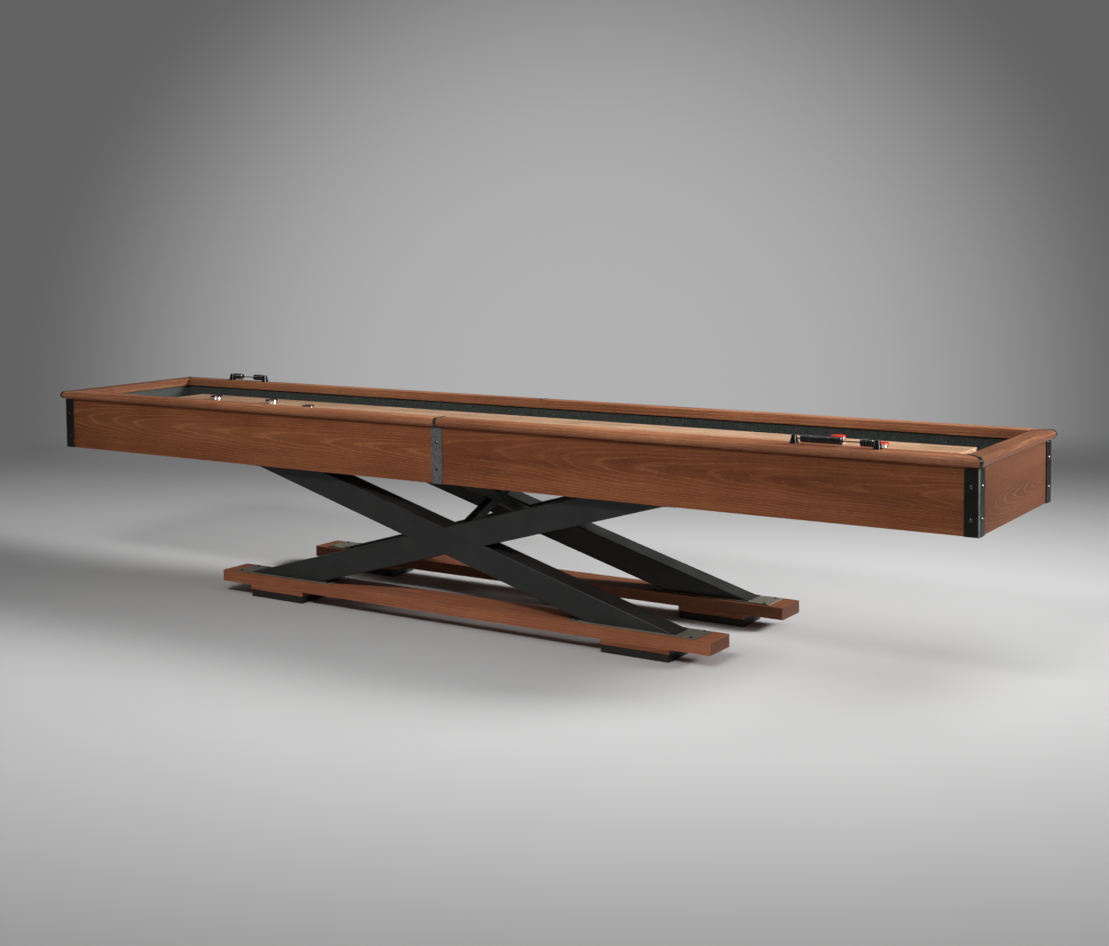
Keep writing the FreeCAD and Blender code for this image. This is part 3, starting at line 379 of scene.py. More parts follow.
def carpet_pile(name, dark, middle, light, clump, tip, gap):
    """Short cut-pile carpet, its tufts paler at their tips, with painted shade nearly black
    between them.
    """
    f = Finish(name)
    point = f.place()
    tufts = f.cells(point, 520.0)
    fibres = f.noise(point, 1900.0, detail=2.0, roughness=0.7)
    specks = f.noise(point, 330.0, roughness=0.7)
    clumps = f.noise(point, 70.0, detail=4.0, roughness=0.7)
    colour = f.ramp(specks, (0.38, dark), (0.5, middle), (0.62, light))
    colour = f.mix(f.levels(clumps, 0.42, 0.62, 0.0, 0.45), colour, clump)
    colour = f.mix(f.levels(fibres, 0.52, 0.7, 0.0, 0.4), colour, tip)
    # Painted shade between the tufts.
    colour = f.mix(f.levels(tufts, 0.4, 0.8, 0.0, 0.7), colour, gap)
    relief = f.relief((f.maths("SUBTRACT", 1.0, tufts), 0.9 * MM), (fibres, 0.8 * MM),
                      (specks, 0.8 * MM))
    rough = f.levels(clumps, 0.3, 0.7, 0.86, 1.0)
    return f.done(Base_Color=colour, Roughness=rough, Normal=relief, Sheen_Weight=0.2,
                  Sheen_Roughness=0.5)


RECIPES = {
    "cabinet_oak": (oak, dict(dark=(0.095, 0.026, 0.008), middle=(0.20, 0.060, 0.020),
                              light=(0.345, 0.13, 0.052), roughness=0.55, coat=0.04)),
    "rail_oak": (oak, dict(dark=(0.10, 0.031, 0.013), middle=(0.215, 0.077, 0.034),
                           light=(0.43, 0.20, 0.10), roughness=0.42, coat=0.12)),
    "skid_oak": (oak, dict(dark=(0.13, 0.041, 0.018), middle=(0.26, 0.088, 0.040),
                           light=(0.40, 0.16, 0.078), roughness=0.52, coat=0.04)),
    "inner_wood": (oak, dict(dark=(0.10, 0.055, 0.03), middle=(0.22, 0.13, 0.075),
                             light=(0.34, 0.22, 0.13), roughness=0.7, coat=0.0)),
    "maple": (maple, dict(dark=(0.40, 0.21, 0.115), middle=(0.60, 0.37, 0.225),
                          light=(0.74, 0.51, 0.345))),
    "carpet": (carpet_pile, dict(dark=(0.010, 0.014, 0.012), middle=(0.029, 0.040, 0.035),
                                 light=(0.110, 0.140, 0.126), clump=(0.016, 0.022, 0.019),
                                 tip=(0.105, 0.135, 0.120), gap=(0.007, 0.009, 0.008))),
    "frame_steel": (powder_coat, dict(base=(0.0145, 0.0145, 0.014), roughness=0.42,
                                      specular=0.42, worn_and_highlight=(0.085, 0.086, 0.08))),
    # The brackets' pale green-grey edge colour is a painted highlight down their rounded corners
    # and edges.
    "bracket_steel": (powder_coat, dict(base=(0.0035, 0.004, 0.003), roughness=0.3,
                                        specular=0.3, worn_and_highlight=(0.20, 0.235, 0.21))),
    "plate_steel": (powder_coat, dict(base=(0.115, 0.108, 0.082), roughness=0.45,
                                      specular=0.5, worn_and_highlight=(0.20, 0.19, 0.16))),
    "strap_steel": (worked_metal, dict(base=(0.19, 0.19, 0.195), roughness=0.5, metallic=0.7,
                                       brush=(170.0, 170.0, 170.0))),
    "band_metal": (worked_metal, dict(base=(0.06, 0.066, 0.058), roughness=0.28, metallic=0.8,
                                      brush=(120.0, 120.0, 120.0))),
    "bolt_steel": (worked_metal, dict(base=(0.085, 0.086, 0.088), roughness=0.17, metallic=0.9,
                                      brush=(300.0, 300.0, 300.0))),
    "zinc_steel": (worked_metal, dict(base=(0.5, 0.5, 0.49), roughness=0.38, metallic=1.0,
                                      brush=(200.0, 200.0, 200.0))),
    "chrome": (worked_metal, dict(base=(0.8, 0.81, 0.82), roughness=0.09, metallic=1.0,
                                  brush=(60.0, 60.0, 2500.0), tarnish=0.1, wear_and_highlight=0.0)),
    "black_plastic": (moulded, dict(base=(0.007, 0.007, 0.008), roughness=0.17,
                                    worn_and_highlight=(0.04, 0.04, 0.04), specular=0.9)),
    # The stands' silver edge colour is a painted highlight down their upright corners and edges.
    "stand_plastic": (moulded, dict(base=(0.005, 0.005, 0.005), roughness=0.2,
                                    worn_and_highlight=(0.62, 0.64, 0.64), specular=0.35)),
    "red_plastic": (moulded, dict(base=(0.45, 0.018, 0.013), roughness=0.25,
                                  worn_and_highlight=(0.5, 0.05, 0.04), mark=1.25)),
    "pad_black": (moulded, dict(base=(0.010, 0.0085, 0.0065), roughness=0.72,
                                worn_and_highlight=(0.04, 0.036, 0.03))),
}
LOOKS = {name: recipe(name, **settings) for name, (recipe, settings) in RECIPES.items()}


# ---------------------------------------------------------------- meshes

JOIN_WITHIN = 0.02 * MM
FLAT = math.radians(1.0)
CREASE = math.radians(32.0)
# How wide edges are eased, and the shortest edge that is, for each kind of part.
EASED = {
    "panel": (1.5 * MM, 60 * MM),
    "rail": (0.8 * MM, 30 * MM),
    "skid": (2.0 * MM, 30 * MM),
    "block": (1.5 * MM, 10 * MM),
    "board": (1.2 * MM, 6 * MM),
    "bearer": (1.0 * MM, 20 * MM),
    "joist": (1.0 * MM, 30 * MM),
    "section": (0.6 * MM, 12 * MM),
    "plate": (0.5 * MM, 12 * MM),
    "band": (0.3 * MM, 8 * MM),
    "stand": (1.0 * MM, 5 * MM),
    "screw": (0.4 * MM, 4 * MM),
    "carpet": (1.2 * MM, 10 * MM),
}


def add_object(name, data):
    made = bpy.data.objects.new(name, data)
    bpy.context.scene.collection.objects.link(made)
    return made


def add_piece(bm, name, node, look):
    """Makes a piece of a bmesh, standing for a CAD node."""
    mesh = bpy.data.meshes.new(name)
    bm.to_mesh(mesh)
    bm.free()
    mesh.shade_smooth()
    mesh.set_sharp_from_angle(angle=CREASE)
    mesh.materials.append(LOOKS[look])
    piece = add_object(name, mesh)
    normals = piece.modifiers.new("even_normals", "WEIGHTED_NORMAL")
    normals.keep_sharp = True
    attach(piece, BODY_OF[node])
    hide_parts(node)


def whole_faces(node):
    """A bmesh of a CAD node's surface, its triangles joined back into whole faces."""
    bm = bmesh.new()
    bm.from_mesh(frame["nodes"][node].data)
    bmesh.ops.remove_doubles(bm, verts=bm.verts, dist=JOIN_WITHIN)
    bmesh.ops.dissolve_limit(bm, angle_limit=FLAT, verts=bm.verts, edges=bm.edges)
    return bm


def ease_edges(bm, kind):
    """Rounds every long sharp edge, and marks the crest of the rounding in the layer that most
    materials draw as rubbing, and the bracket and stand materials as a painted highlight.
    """
    width, shortest = EASED[kind]
    wear_and_highlight = bm.verts.layers.float.new("wear_and_highlight")
    sharp = [
        edge for edge in bm.edges
        if edge.is_manifold and edge.calc_length() > shortest
        and edge.calc_face_angle(0.0) > CREASE
    ]
    made = bmesh.ops.bevel(bm, geom=sharp, offset=width, segments=2, profile=0.5,
                           affect="EDGES", clamp_overlap=False)
    rounding = set(made["faces"])
    for vert in made["verts"]:
        if all(face in rounding for face in vert.link_faces):
            vert[wear_and_highlight] = 1.0


def finished_copy(node, look, kind, grain=(), paint_highlight=None):
    """A CAD node's shape with eased edges, and the layers that its material reads."""
    bm = whole_faces(node)
    ease_edges(bm, kind)
    for name, layer_kind, value in grain:
        layer = getattr(bm.verts.layers, layer_kind).new(name)
        for vert in bm.verts:
            vert[layer] = value
    if paint_highlight:
        paint_highlight(bm)
    add_piece(bm, node + "_finished", node, look)


def grain_of(middle, start, heart, lean=0.03, across=False, figure=0.4, sawn=0.5, tone_and_painted_shading=1.0):
    """The layers that lay a plank in its log, as names, kinds and values.

    heart is the log's axis in the plank's cross-section: its place in depth and height.
    tone multiplies the plank's colour: above 1 it is painted light, below 1 painted shade.
    """
    along = start - middle.y if across else start + middle.x
    depth, height = heart
    log = Vector((start, -depth - lean * along, -height - SIDE_LEAN * lean * along))
    return (("log", "float_vector", log), ("across", "float", float(across)),
            ("figure", "float", figure), ("lean", "float", lean), ("sawn", "float", sawn),
            ("tone_and_painted_shading", "float", tone_and_painted_shading - 1.0))


def paint_corner_highlights(bm):
    """Marks a painted highlight down upright rounded corners, in the same layer as the eased
    edges' crests, clear of the flat faces beside them.
    """
    wear_and_highlight = bm.verts.layers.float["wear_and_highlight"]
    for vert in bm.verts:
        slants = [min(abs(face.normal.x), abs(face.normal.y)) for face in vert.link_faces
                  if abs(face.normal.z) < 0.5]
        if slants and min(slants) > 0.1:
            vert[wear_and_highlight] = 1.0


def rounded_profile(corners, steps=4):
    """Radius and height points of an outline whose corners are (radius, height, fillet)."""
    points = []
    for i, (radius, height, fillet) in enumerate(corners):
        here = Vector((radius, height))
        if fillet == 0 or i in (0, len(corners) - 1):
            points.append(here)
            continue
        before = Vector(corners[i - 1][:2]) - here
        after = Vector(corners[i + 1][:2]) - here
        reach = min(fillet, before.length * 0.45, after.length * 0.45)
        start = here + before.normalized() * reach
        end = here + after.normalized() * reach
        for k in range(steps + 1):
            t = k / steps
            points.append(start * (1 - t) ** 2 + here * 2 * t * (1 - t) + end * t ** 2)
    return points


def round_angles(count):
    """Evenly spaced angles of one full turn."""
    return [2 * math.pi * i / count for i in range(count)]


def skin(bm, rings, closed=False):
    """Adds faces from each ring of points to the next. A ring of one point is a tip."""
    for low, high in zip(rings, rings[1:] + rings[:1] if closed else rings[1:]):
        steps = max(len(low), len(high))
        for i in range(steps):
            j = (i + 1) % steps
            corners = (low[i % len(low)], low[j % len(low)],
                       high[j % len(high)], high[i % len(high)])
            bm.faces.new(list(dict.fromkeys(corners)))


def turn(bm, profile, place, steps, closed=False):
    """Adds a turned solid.

    The profile of radius and height runs from the axis out and back to it. A closed
    profile is an outline that stays off the axis, and gives a ring.
    """
    rings = []
    for radius, height in profile:
        if radius == 0:
            points = [Vector((0.0, 0.0, height))]
        else:
            points = [Vector((radius * math.cos(a), radius * math.sin(a), height))
                      for a in round_angles(steps)]
        rings.append([bm.verts.new(place @ point) for point in points])
    skin(bm, rings, closed)


def islands(node):
    """The solids of a CAD node, each as a list of its points."""
    bm = whole_faces(node)
    found = []
    seen = set()
    for first in bm.verts:
        if first in seen:
            continue
        seen.add(first)
        group = [first]
        for vert in group:
            for edge in vert.link_edges:
                other = edge.other_vert(vert)
                if other not in seen:
                    seen.add(other)
                    group.append(other)
        found.append([vert.co.copy() for vert in group])
    bm.free()
    return found


def extent(points):
    low = Vector(min(p[i] for p in points) for i in range(3))
    high = Vector(max(p[i] for p in points) for i in range(3))
    return low, high


# ---------------------------------------------------------------- wooden pieces

LOG_LENGTH = 9.0
# For each kind of plank: its finish, how its edges are eased, the ranges that its log's axis
# is drawn from in depth and in height, and the layers that it gives its material.
# The tone values are painted light and shade: the end panels, end rails and far skid are
# darkened as if shaded, and the near and far rails and the near skid are lightened as if lit.
PLANKS = {
    "side_panel": ("cabinet_oak", "panel", (0.03, 0.09), (-0.05, 0.05),
                   dict(lean=0.035, figure=0.65)),
    "end_panel": ("cabinet_oak", "panel", (0.035, 0.05), (-0.03, 0.03),
                  dict(lean=0.09, figure=0.85, across=True, tone_and_painted_shading=0.46)),
    "rail_near": ("rail_oak", "rail", (-0.05, 0.05), (0.06, 0.12),
                  dict(lean=0.02, figure=0.55, tone_and_painted_shading=1.3)),
    "rail_far": ("rail_oak", "rail", (-0.05, 0.05), (0.06, 0.12),
                 dict(lean=0.02, figure=0.55, tone_and_painted_shading=1.14)),
    "rail_end": ("rail_oak", "rail", (-0.05, 0.05), (0.06, 0.12),
                 dict(lean=0.02, figure=0.55, across=True, tone_and_painted_shading=0.7)),
    "skid_near": ("skid_oak", "skid", (-0.03, 0.03), (0.03, 0.08),
                  dict(figure=0.5, sawn=0.95, tone_and_painted_shading=1.22)),
    "skid_far": ("skid_oak", "skid", (-0.03, 0.03), (0.03, 0.08),
                 dict(figure=0.5, sawn=0.95, tone_and_painted_shading=0.72)),
}
PANEL_SEED = 5
RAIL_SEED = 11
SKID_SEED = 23


def make_plank(draw, kind, node, depth, inward, height, upward):
    """A plank whose log's axis lies off from a depth and a height, each in a direction."""
    look, eased, depths, heights, layers = PLANKS[kind]
    low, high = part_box(node)
    heart = (depth + inward * draw.uniform(*depths), height + upward * draw.uniform(*heights))
    grain = grain_of((low + high) / 2, draw.uniform(0, LOG_LENGTH), heart, **layers)
    finished_copy(node, look, eased, grain)


def make_panels():
    """Side and end panels, each with its log's axis somewhere behind its outer face."""
    draw = random.Random(PANEL_SEED)
    for side in ("near", "far"):
        for end in ("left", "right"):
            node = "side_panel_%s_%s" % (side, end)
            low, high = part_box(node)
            middle = (low + high) / 2
            face, inward = (low.y, 1) if side == "near" else (high.y, -1)
            make_plank(draw, "side_panel", node, face, inward, middle.z, 1)
    for end in ("left", "right"):
        node = "end_panel_" + end
        low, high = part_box(node)
        middle = (low + high) / 2
        face, inward = (low.x, 1) if end == "left" else (high.x, -1)
        make_plank(draw, "end_panel", node, face, inward, middle.z, 1)


def make_rails():
    """Top rails with a half-round nose, mitred at the corners."""
    draw = random.Random(RAIL_SEED)
    for kind in ("rail_near", "rail_far", "rail_end"):
        for end in ("left", "right"):
            node = "%s_%s" % (kind, end)
            low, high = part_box(node)
            middle = (low + high) / 2
            depth = middle.x if kind == "rail_end" else middle.y
            make_plank(draw, kind, node, depth, 1, high.z, -1)


def make_skids():
    """Skids, and the blocks and pads that they stand on."""
    draw = random.Random(SKID_SEED)
    for node in ("skid_near", "skid_far"):
        low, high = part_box(node)
        middle = (low + high) / 2
        make_plank(draw, node, node, middle.y, 1, low.z, -1)
    blocks = grain_of(Vector(), draw.uniform(0, LOG_LENGTH), (0.0, -0.1))
    finished_copy("foot_blocks", "skid_oak", "block", blocks)
    finished_copy("foot_pads", "pad_black", "block")


def make_inside():
    """The board, and what carries and bows it."""
    finished_copy("playfield_board", "maple", "board")
    framing = grain_of(Vector(), 3.0, (0.2, 0.4), across=True)
    finished_copy("board_bearers", "inner_wood", "bearer", framing)
    finished_copy("floor_joists", "inner_wood", "joist", framing)
    finished_copy("adjuster_bars", "frame_steel", "section")
    materials = frame["nodes"]["cabinet_floor"].data.materials
    materials.clear()
    materials.append(LOOKS["inner_wood"])


# ---------------------------------------------------------------- steel pieces

WELD_RADIUS = 4.0 * MM
WELD_PITCH = 5.0 * MM
WELD_RIPPLE = 0.12
WELD_CORNER = 6.0 * MM
WELD_SIDES = 8
STEPS_PER_RIPPLE = 3
STEPS_PER_CORNER = 3


def weld_path(low, high):
    """Evenly spaced points round a level rectangle with rounded corners."""
    turns = ((high.x, high.y, 0), (low.x, high.y, 1), (low.x, low.y, 2), (high.x, low.y, 3))
    outline = []
    for x, y, quarter in turns:
        inward = Vector((WELD_CORNER if x == low.x else -WELD_CORNER,
                         WELD_CORNER if y == low.y else -WELD_CORNER, 0))
        centre = Vector((x, y, low.z)) + inward
        for k in range(STEPS_PER_CORNER + 1):
            a = math.pi / 2 * (quarter + k / STEPS_PER_CORNER)
            outline.append(centre + WELD_CORNER * Vector((math.cos(a), math.sin(a), 0)))
    path = []
    for start, end in zip(outline, outline[1:] + outline[:1]):
        count = max(1, round((end - start).length / (WELD_PITCH / STEPS_PER_RIPPLE)))
        path += [start.lerp(end, k / count) for k in range(count)]
    return path


def weld_ring(bm, low, high):
    """Adds a rippled weld bead round the end of a leg."""
    path = weld_path(low, high)
    rings = []
    for i, spot in enumerate(path):
        ahead = (path[(i + 1) % len(path)] - path[i - 1]).normalized()
        side = Vector((ahead.y, -ahead.x, 0.0))
        sunk = WELD_RIPPLE * (i % STEPS_PER_RIPPLE) / (STEPS_PER_RIPPLE - 1)
        radius = WELD_RADIUS * (1 - sunk)
        rings.append([bm.verts.new(spot + side * radius * math.cos(a)
                                   + Vector((0, 0, radius * math.sin(a))))
                      for a in round_angles(WELD_SIDES)])
    skin(bm, rings, closed=True)


def make_leg(node):
    """A crossed leg, with the welds that join it to the plates at its ends."""
    bm = whole_faces(node)
    points = [vert.co.copy() for vert in bm.verts]
    ease_edges(bm, "section")
    low, high = extent(points)
    for level in (low.z, high.z):
        weld_ring(bm, *extent([p for p in points if abs(p.z - level) < MM]))
    bmesh.ops.recalc_face_normals(bm, faces=bm.faces)
    add_piece(bm, node + "_welded", node, "frame_steel")


def make_frames():
    """Crossed legs, plates and the brace between the frames."""
    for node in ("leg_whole_near", "leg_whole_far", "leg_halves_near", "leg_halves_far"):
        make_leg(node)
    for node in ("brace_whole", "brace_halves"):
        finished_copy(node, "frame_steel", "section")
    finished_copy("top_plates", "frame_steel", "plate")
    finished_copy("foot_plates", "plate_steel", "plate")


def make_fittings():
    """Corner brackets, straps, the bands over the rails' joints, and the scorers' stands."""
    # Brackets and stands get a painted highlight down their rounded upright corners.
    finished_copy("corner_brackets", "bracket_steel", "section", paint_highlight=paint_corner_highlights)
    finished_copy("splice_straps", "strap_steel", "plate")
    finished_copy("rail_bands", "band_metal", "band")
    finished_copy("scorer_stands", "stand_plastic", "stand", paint_highlight=paint_corner_highlights)


# A bolt's dome height and shank radius as shares of its head's radius.
DOME_SHARE = 0.51
SHANK_SHARE = 0.55
TIP_CHAMFER = 0.6 * MM
HEAD_CHAMFER = 0.3 * MM
DOME_STEPS = 6
BOLT_SIDES = 24
SAME_WITHIN = 0.1 * MM


def dome_bolt(bm, radius, length, place):
    """One bolt whose highest point is the origin of its place."""
    height = radius * DOME_SHARE
    sphere = (radius ** 2 + height ** 2) / (2 * height)
    shank = radius * SHANK_SHARE
    profile = [(0.0, -length), (shank - TIP_CHAMFER, -length), (shank, -length + TIP_CHAMFER),
               (shank, -height), (radius - HEAD_CHAMFER, -height),
               (radius, -height + HEAD_CHAMFER)]
    for k in range(1, DOME_STEPS):
        r = radius * (1 - k / DOME_STEPS)
        profile.append((r, math.sqrt(sphere ** 2 - r ** 2) - sphere))
    profile.append((0.0, 0.0))
    turn(bm, profile, place, BOLT_SIDES)


def make_bolts(node):
    """A domed head and shank where each bolt of a CAD node is."""
    bm = bmesh.new()
    for points in islands(node):
        low, high = extent(points)
        size = high - low
        middle = (low + high) / 2
        axis = max(range(3), key=lambda i: size[i])
        radius = size[(axis + 1) % 3] / 2
        spread = max(max((p - middle)[i] for p in points if (p - middle)[axis] > 0)
                     for i in range(3) if i != axis)
        direction = Vector((0.0, 0.0, 0.0))
        direction[axis] = 1.0 if spread > radius - SAME_WITHIN else -1.0
        tip = middle + direction * size[axis] / 2
        place = Matrix.Translation(tip) @ direction.to_track_quat("Z", "Y").to_matrix().to_4x4()
        dome_bolt(bm, radius, size[axis], place)
    add_piece(bm, node + "_turned", node, "bolt_steel")


# ---------------------------------------------------------------- carpet

CARPET_THICK = 5 * MM
STRIP_GAP = 0.4 * MM


def carpet_strip(bm, low, high):
    """Adds a strip of carpet, a little short of its neighbours."""
    made = bmesh.ops.create_cube(bm, size=1.0)
    low = Vector(low) + Vector((STRIP_GAP, STRIP_GAP, 0.0))
    high = Vector(high) - Vector((STRIP_GAP, STRIP_GAP, 0.0))
    for vert in made["verts"]:
        vert.co = Vector(low[i] if vert.co[i] < 0 else high[i] for i in range(3))


def make_carpet():
    """Carpet on the gutter's floor and up the inside of the panels."""
    low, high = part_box("gutter_carpet")
    board_low, board_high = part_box("playfield_board")
    floor_top = low.z + CARPET_THICK
    bm = bmesh.new()
    for a, b in ((low.y, board_low.y), (board_high.y, high.y)):
        carpet_strip(bm, (low.x, a, low.z), (high.x, b, floor_top))
    for a, b in ((low.x, board_low.x), (board_high.x, high.x)):
        carpet_strip(bm, (a, board_low.y, low.z), (b, board_high.y, floor_top))
    for a, b in ((low.y, low.y + CARPET_THICK), (high.y - CARPET_THICK, high.y)):
        carpet_strip(bm, (low.x, a, floor_top), (high.x, b, high.z))
    for a, b in ((low.x, low.x + CARPET_THICK), (high.x - CARPET_THICK, high.x)):
        carpet_strip(bm, (a, low.y + CARPET_THICK, floor_top),
                     (b, high.y - CARPET_THICK, high.z))
    ease_edges(bm, "carpet")
    add_piece(bm, "gutter_carpet_pile", "gutter_carpet", "carpet")


# ---------------------------------------------------------------- pucks and scorers

# The weight's outline as shares of its radius and height, and the fillet at each corner.
WEIGHT_OUTLINE = (
    (0.0, 0.0, 0.0), (0.935, 0.0, 1.4 * MM), (0.93, 0.2, 1.6 * MM), (0.845, 0.42, 3 * MM),
    (0.85, 0.62, 3 * MM), (1.0, 0.84, 1.2 * MM), (1.0, 1.0, 1.0 * MM),
)
SOCKET_SHARE = 0.72
SOCKET_SPARE = 0.5 * MM
SOCKET_PLAY = 0.2 * MM
CAP_LIFT = 0.1 * MM
DISH_SHARES = (0.34, 0.31)
PUCK_SIDES = 64


def make_puck(name):
    """A chromed weight with a hollow waist, and its plastic cap with a dished top."""
    body = "puck_" + name
    low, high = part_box(body + "_weight")
    cap_low, cap_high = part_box(body + "_cap")
    centre = (low + high) / 2
    radius = (high.x - low.x) / 2
    height = high.z - low.z
    cap_radius = (cap_high.x - cap_low.x) / 2
    socket = cap_radius * SOCKET_SHARE
    bottom = height - (high.z - cap_low.z - SOCKET_SPARE)
    outline = [(radius * r, height * h, fillet) for r, h, fillet in WEIGHT_OUTLINE]
    outline += [(socket, height, 0.3 * MM), (socket, bottom, 0.0), (0.0, bottom, 0.0)]
    place = Matrix.Translation((centre.x, centre.y, low.z))
    bm = bmesh.new()
    turn(bm, rounded_profile(outline), place, PUCK_SIDES)
    add_piece(bm, body + "_chromed", body + "_weight", "chrome")

    top = cap_high.z - high.z
    foot = cap_low.z - high.z
    spigot = socket - SOCKET_PLAY
    outline = [
        (0.0, foot, 0.0), (spigot, foot, 0.0), (spigot, CAP_LIFT, 0.0),
        (cap_radius - 0.4 * MM, CAP_LIFT, 0.4 * MM), (cap_radius, 1.0 * MM, 0.5 * MM),
        (cap_radius, top - 0.4 * MM, 1.6 * MM), (cap_radius - 3.2 * MM, top, 0.8 * MM),
        (cap_radius - 4.2 * MM, top - 0.6 * MM, 0.5 * MM),
        (cap_radius * DISH_SHARES[0], top - 0.5 * MM, 0.3 * MM),
        (cap_radius * DISH_SHARES[1], top - 0.1 * MM, 0.3 * MM), (0.0, top - 0.1 * MM, 0.0)]
    place = Matrix.Translation((centre.x, centre.y, high.z))
    bm = bmesh.new()
    turn(bm, rounded_profile(outline), place, PUCK_SIDES)
    add_piece(bm, body + "_moulded", body + "_cap", name.split("_")[0] + "_plastic")


BEAD_PITCH = 9.3 * MM
BEAD_THICK = 9.0 * MM
# Half of a bead's outline: the hole's edge, the hub, then shares of the bead's radius.
BEAD_HOLE = (3.1 * MM, 0.3 * MM)
BEAD_HUB = (5.2 * MM, 0.0)
BEAD_RIM = ((0.78, 0.7 * MM), (0.93, 1.9 * MM), (1.0, 3.4 * MM))
BEAD_SIDES = 32
ROD_CHAMFER = 0.8 * MM
ROD_SIDES = 20
ALONG_X = Matrix.Rotation(math.pi / 2, 4, "Y")


def on_rod(x, low, high):
    """The place, facing along X, at a distance along a rod's axis."""
    return Matrix.Translation((x, (low.y + high.y) / 2, (low.z + high.z) / 2)) @ ALONG_X


def make_beads(node):
    """Ridged discs side by side on a scorer's rod."""
    low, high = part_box(node)
    radius = (high.z - low.z) / 2
    count = round((high.x - low.x - BEAD_THICK) / BEAD_PITCH) + 1
    half = [BEAD_HOLE, BEAD_HUB] + [(radius * share, x) for share, x in BEAD_RIM]
    outline = half + [(r, BEAD_THICK - x) for r, x in reversed(half)]
    bm = bmesh.new()
    for i in range(count):
        turn(bm, outline, on_rod(low.x + i * BEAD_PITCH, low, high), BEAD_SIDES, closed=True)
    bmesh.ops.recalc_face_normals(bm, faces=bm.faces)
    add_piece(bm, node + "_turned", node, "black_plastic")


def make_rods():
    """The scorers' rods, with a chamfer at each end."""
    bm = bmesh.new()
    for points in islands("scorer_rods"):
        low, high = extent(points)
        radius = (high.z - low.z) / 2
        length = high.x - low.x
        profile = rounded_profile([(0.0, 0.0, 0.0), (radius, 0.0, ROD_CHAMFER),
                                   (radius, length, ROD_CHAMFER), (0.0, length, 0.0)])
        turn(bm, profile, on_rod(low.x, low, high), ROD_SIDES)
    add_piece(bm, "scorer_rods_turned", "scorer_rods", "bolt_steel")


# ---------------------------------------------------------------- light, floor and camera

FLOOR_GREY = 0.49
FLOOR_MOTTLE = 0.03
# The floor lies off toward the camera, so that its fading edge shows only behind the table.
FLOOR_CENTRE = Vector((1.4, -2.3, 0.0))
FLOOR_RADIUS = 9.2
FLOOR_SOLID = 6.6
FLOOR_FADED = 9.1
FLOOR_SIDES = 96

AMBIENT = 0.10
BACKDROP_CENTRE = Vector((-0.5295, 0.8483, -0.11)).normalized()
# Cosines of the angle from the backdrop's centre, at its rim and its middle, then the grey
# at each.
BACKDROP_GLOW = (0.94, 1.0, 0.125, 0.435)

# Power is in watts, and spread in degrees.
LIGHTS = {
    "front": dict(place=(0.9, -4.4, 4.8), aim=(-0.2, 0.1, 0.6), width=2.4, height=1.0,
                  power=46.0, spread=84.0),
    "overhead": dict(place=(2.8, 0.3, 3.8), aim=(1.6, 0.2, 0.3), width=4.4, height=2.4,
                     power=48.0, spread=130.0),
    "key": dict(place=(9.5, 4.6, 5.0), aim=(-0.9, -0.3, 0.1), width=4.0, height=2.4,
                power=118.0, spread=34.0),
}

# Camera: place, heading, tilt and roll in radians, and the lens for its sensor in mm.
CAMERA_PLACE = (3.7257, -5.2357, 1.5503)
HEADING = 0.5803
TILT = -0.0662
ROLL = -0.0102
SENSOR = 36.0
LENS = 52.06
SHIFT_Y = -0.1290


def make_floor():
    """A pale studio floor that fades into the backdrop some way behind the table."""
    bm = bmesh.new()
    bmesh.ops.create_circle(bm, cap_ends=True, radius=FLOOR_RADIUS, segments=FLOOR_SIDES,
                            matrix=Matrix.Translation(FLOOR_CENTRE))
    mesh = bpy.data.meshes.new("studio_floor")
    bm.to_mesh(mesh)
    bm.free()
    add_object("studio_floor", mesh)

    f = Finish("studio_floor")
    point = f.place()
    grey = (FLOOR_GREY,) * 3
    colour = f.mix(f.noise(point, 1.3, detail=4.0), shade(grey, 1 - FLOOR_MOTTLE),
                   shade(grey, 1 + FLOOR_MOTTLE))
    reach = f.vector("LENGTH", f.vector("SUBTRACT", point, FLOOR_CENTRE))
    shown = f.levels(reach, FLOOR_SOLID, FLOOR_FADED, 1.0, 0.0)
    mesh.materials.append(f.done(Base_Color=colour, Roughness=0.85, Alpha=shown))


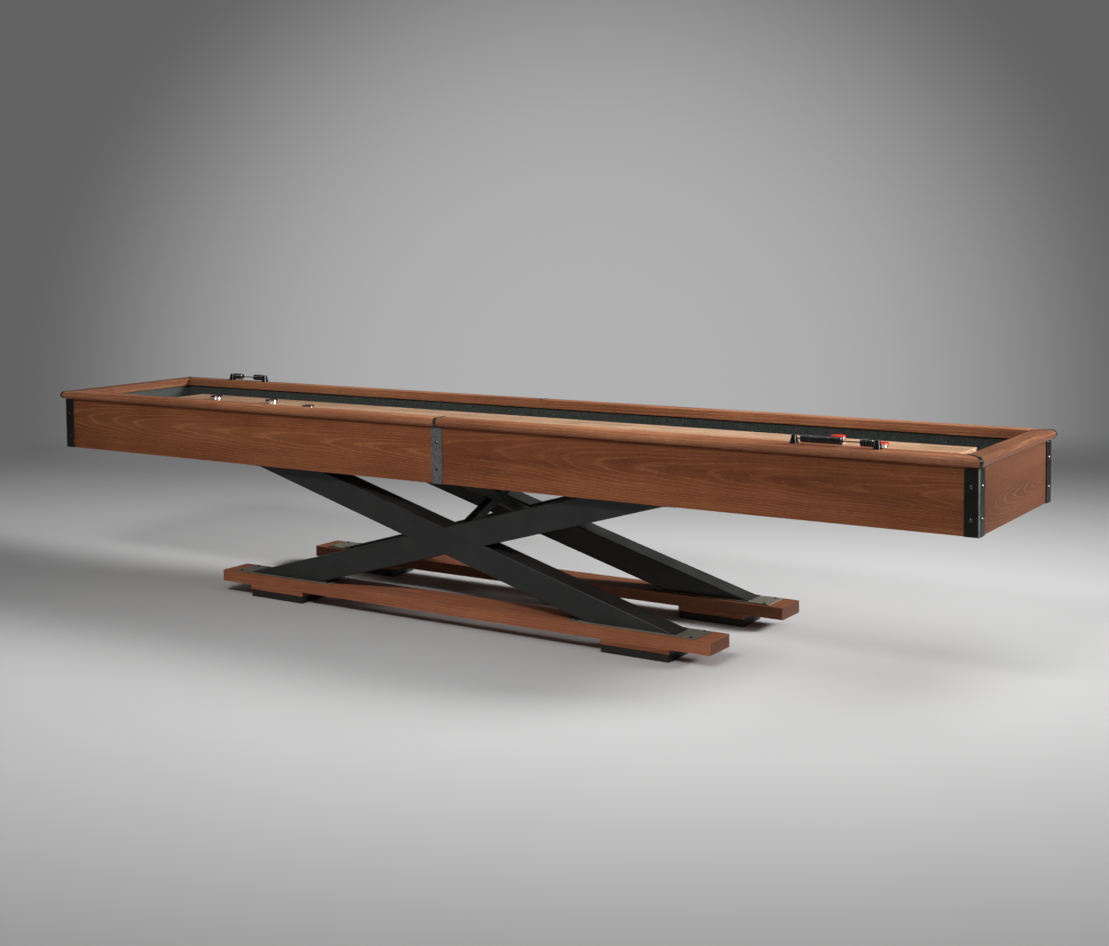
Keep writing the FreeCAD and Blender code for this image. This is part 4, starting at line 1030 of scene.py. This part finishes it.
def make_world():
    """Soft even light from all round, and a grey backdrop that the camera sees."""
    world = bpy.data.worlds.new("studio")
    bpy.context.scene.world = world
    world.use_nodes = True
    nodes = world.node_tree.nodes
    link = world.node_tree.links.new
    nodes.clear()
    seen = nodes.new("ShaderNodeBackground")
    lit = nodes.new("ShaderNodeBackground")
    for background in (seen, lit):
        background.inputs["Color"].default_value = (1.0, 1.0, 1.0, 1.0)
    lit.inputs["Strength"].default_value = AMBIENT
    direction = nodes.new("ShaderNodeTexCoord")
    toward = nodes.new("ShaderNodeVectorMath")
    toward.operation = "DOT_PRODUCT"
    toward.inputs[1].default_value = BACKDROP_CENTRE
    link(direction.outputs["Generated"], toward.inputs[0])
    glow = nodes.new("ShaderNodeMapRange")
    glow.interpolation_type = "SMOOTHSTEP"
    for socket, value in zip(glow.inputs[1:5], BACKDROP_GLOW):
        socket.default_value = value
    link(toward.outputs["Value"], glow.inputs[0])
    link(glow.outputs["Result"], seen.inputs["Strength"])
    path = nodes.new("ShaderNodeLightPath")
    mix = nodes.new("ShaderNodeMixShader")
    link(path.outputs["Is Camera Ray"], mix.inputs["Fac"])
    link(lit.outputs["Background"], mix.inputs[1])
    link(seen.outputs["Background"], mix.inputs[2])
    output = nodes.new("ShaderNodeOutputWorld")
    link(mix.outputs["Shader"], output.inputs["Surface"])


def make_lights():
    for name, light in LIGHTS.items():
        data = bpy.data.lights.new(name, "AREA")
        data.shape = "RECTANGLE"
        data.size = light["width"]
        data.size_y = light["height"]
        data.energy = light["power"]
        data.spread = math.radians(light["spread"])
        lamp = add_object(name, data)
        lamp.location = light["place"]
        aim = Vector(light["aim"]) - Vector(light["place"])
        lamp.rotation_euler = aim.to_track_quat("-Z", "Y").to_euler()


def make_camera():
    forward = Vector((-math.sin(HEADING) * math.cos(TILT), math.cos(HEADING) * math.cos(TILT),
                      math.sin(TILT)))
    level = Vector((math.cos(HEADING), math.sin(HEADING), 0.0))
    upright = level.cross(forward)
    right = level * math.cos(ROLL) + upright * math.sin(ROLL)
    up = upright * math.cos(ROLL) - level * math.sin(ROLL)
    data = bpy.data.cameras.new("camera")
    data.sensor_width = SENSOR
    data.lens = LENS
    data.shift_y = SHIFT_Y
    camera = add_object("camera", data)
    turned = Matrix((right, up, -forward)).transposed()
    camera.matrix_world = Matrix.Translation(CAMERA_PLACE) @ turned.to_4x4()
    bpy.context.scene.camera = camera


# ---------------------------------------------------------------- scene

make_camera()
make_panels()
make_rails()
make_skids()
make_inside()
make_frames()
make_fittings()
make_bolts("cabinet_bolts")
make_bolts("frame_bolts")
make_carpet()
for colour_name in ("black", "red"):
    for number in (1, 2, 3, 4):
        make_puck("%s_%d" % (colour_name, number))
for scorer in ("near", "far"):
    for group in ("left", "right"):
        make_beads("scorer_beads_%s_%s" % (scorer, group))
make_rods()
for end_name in ("left", "right"):
    finished_copy("adjuster_bolt_" + end_name, "zinc_steel", "screw")
make_floor()
make_world()
make_lights()
bpy.context.scene.view_settings.view_transform = "Standard"
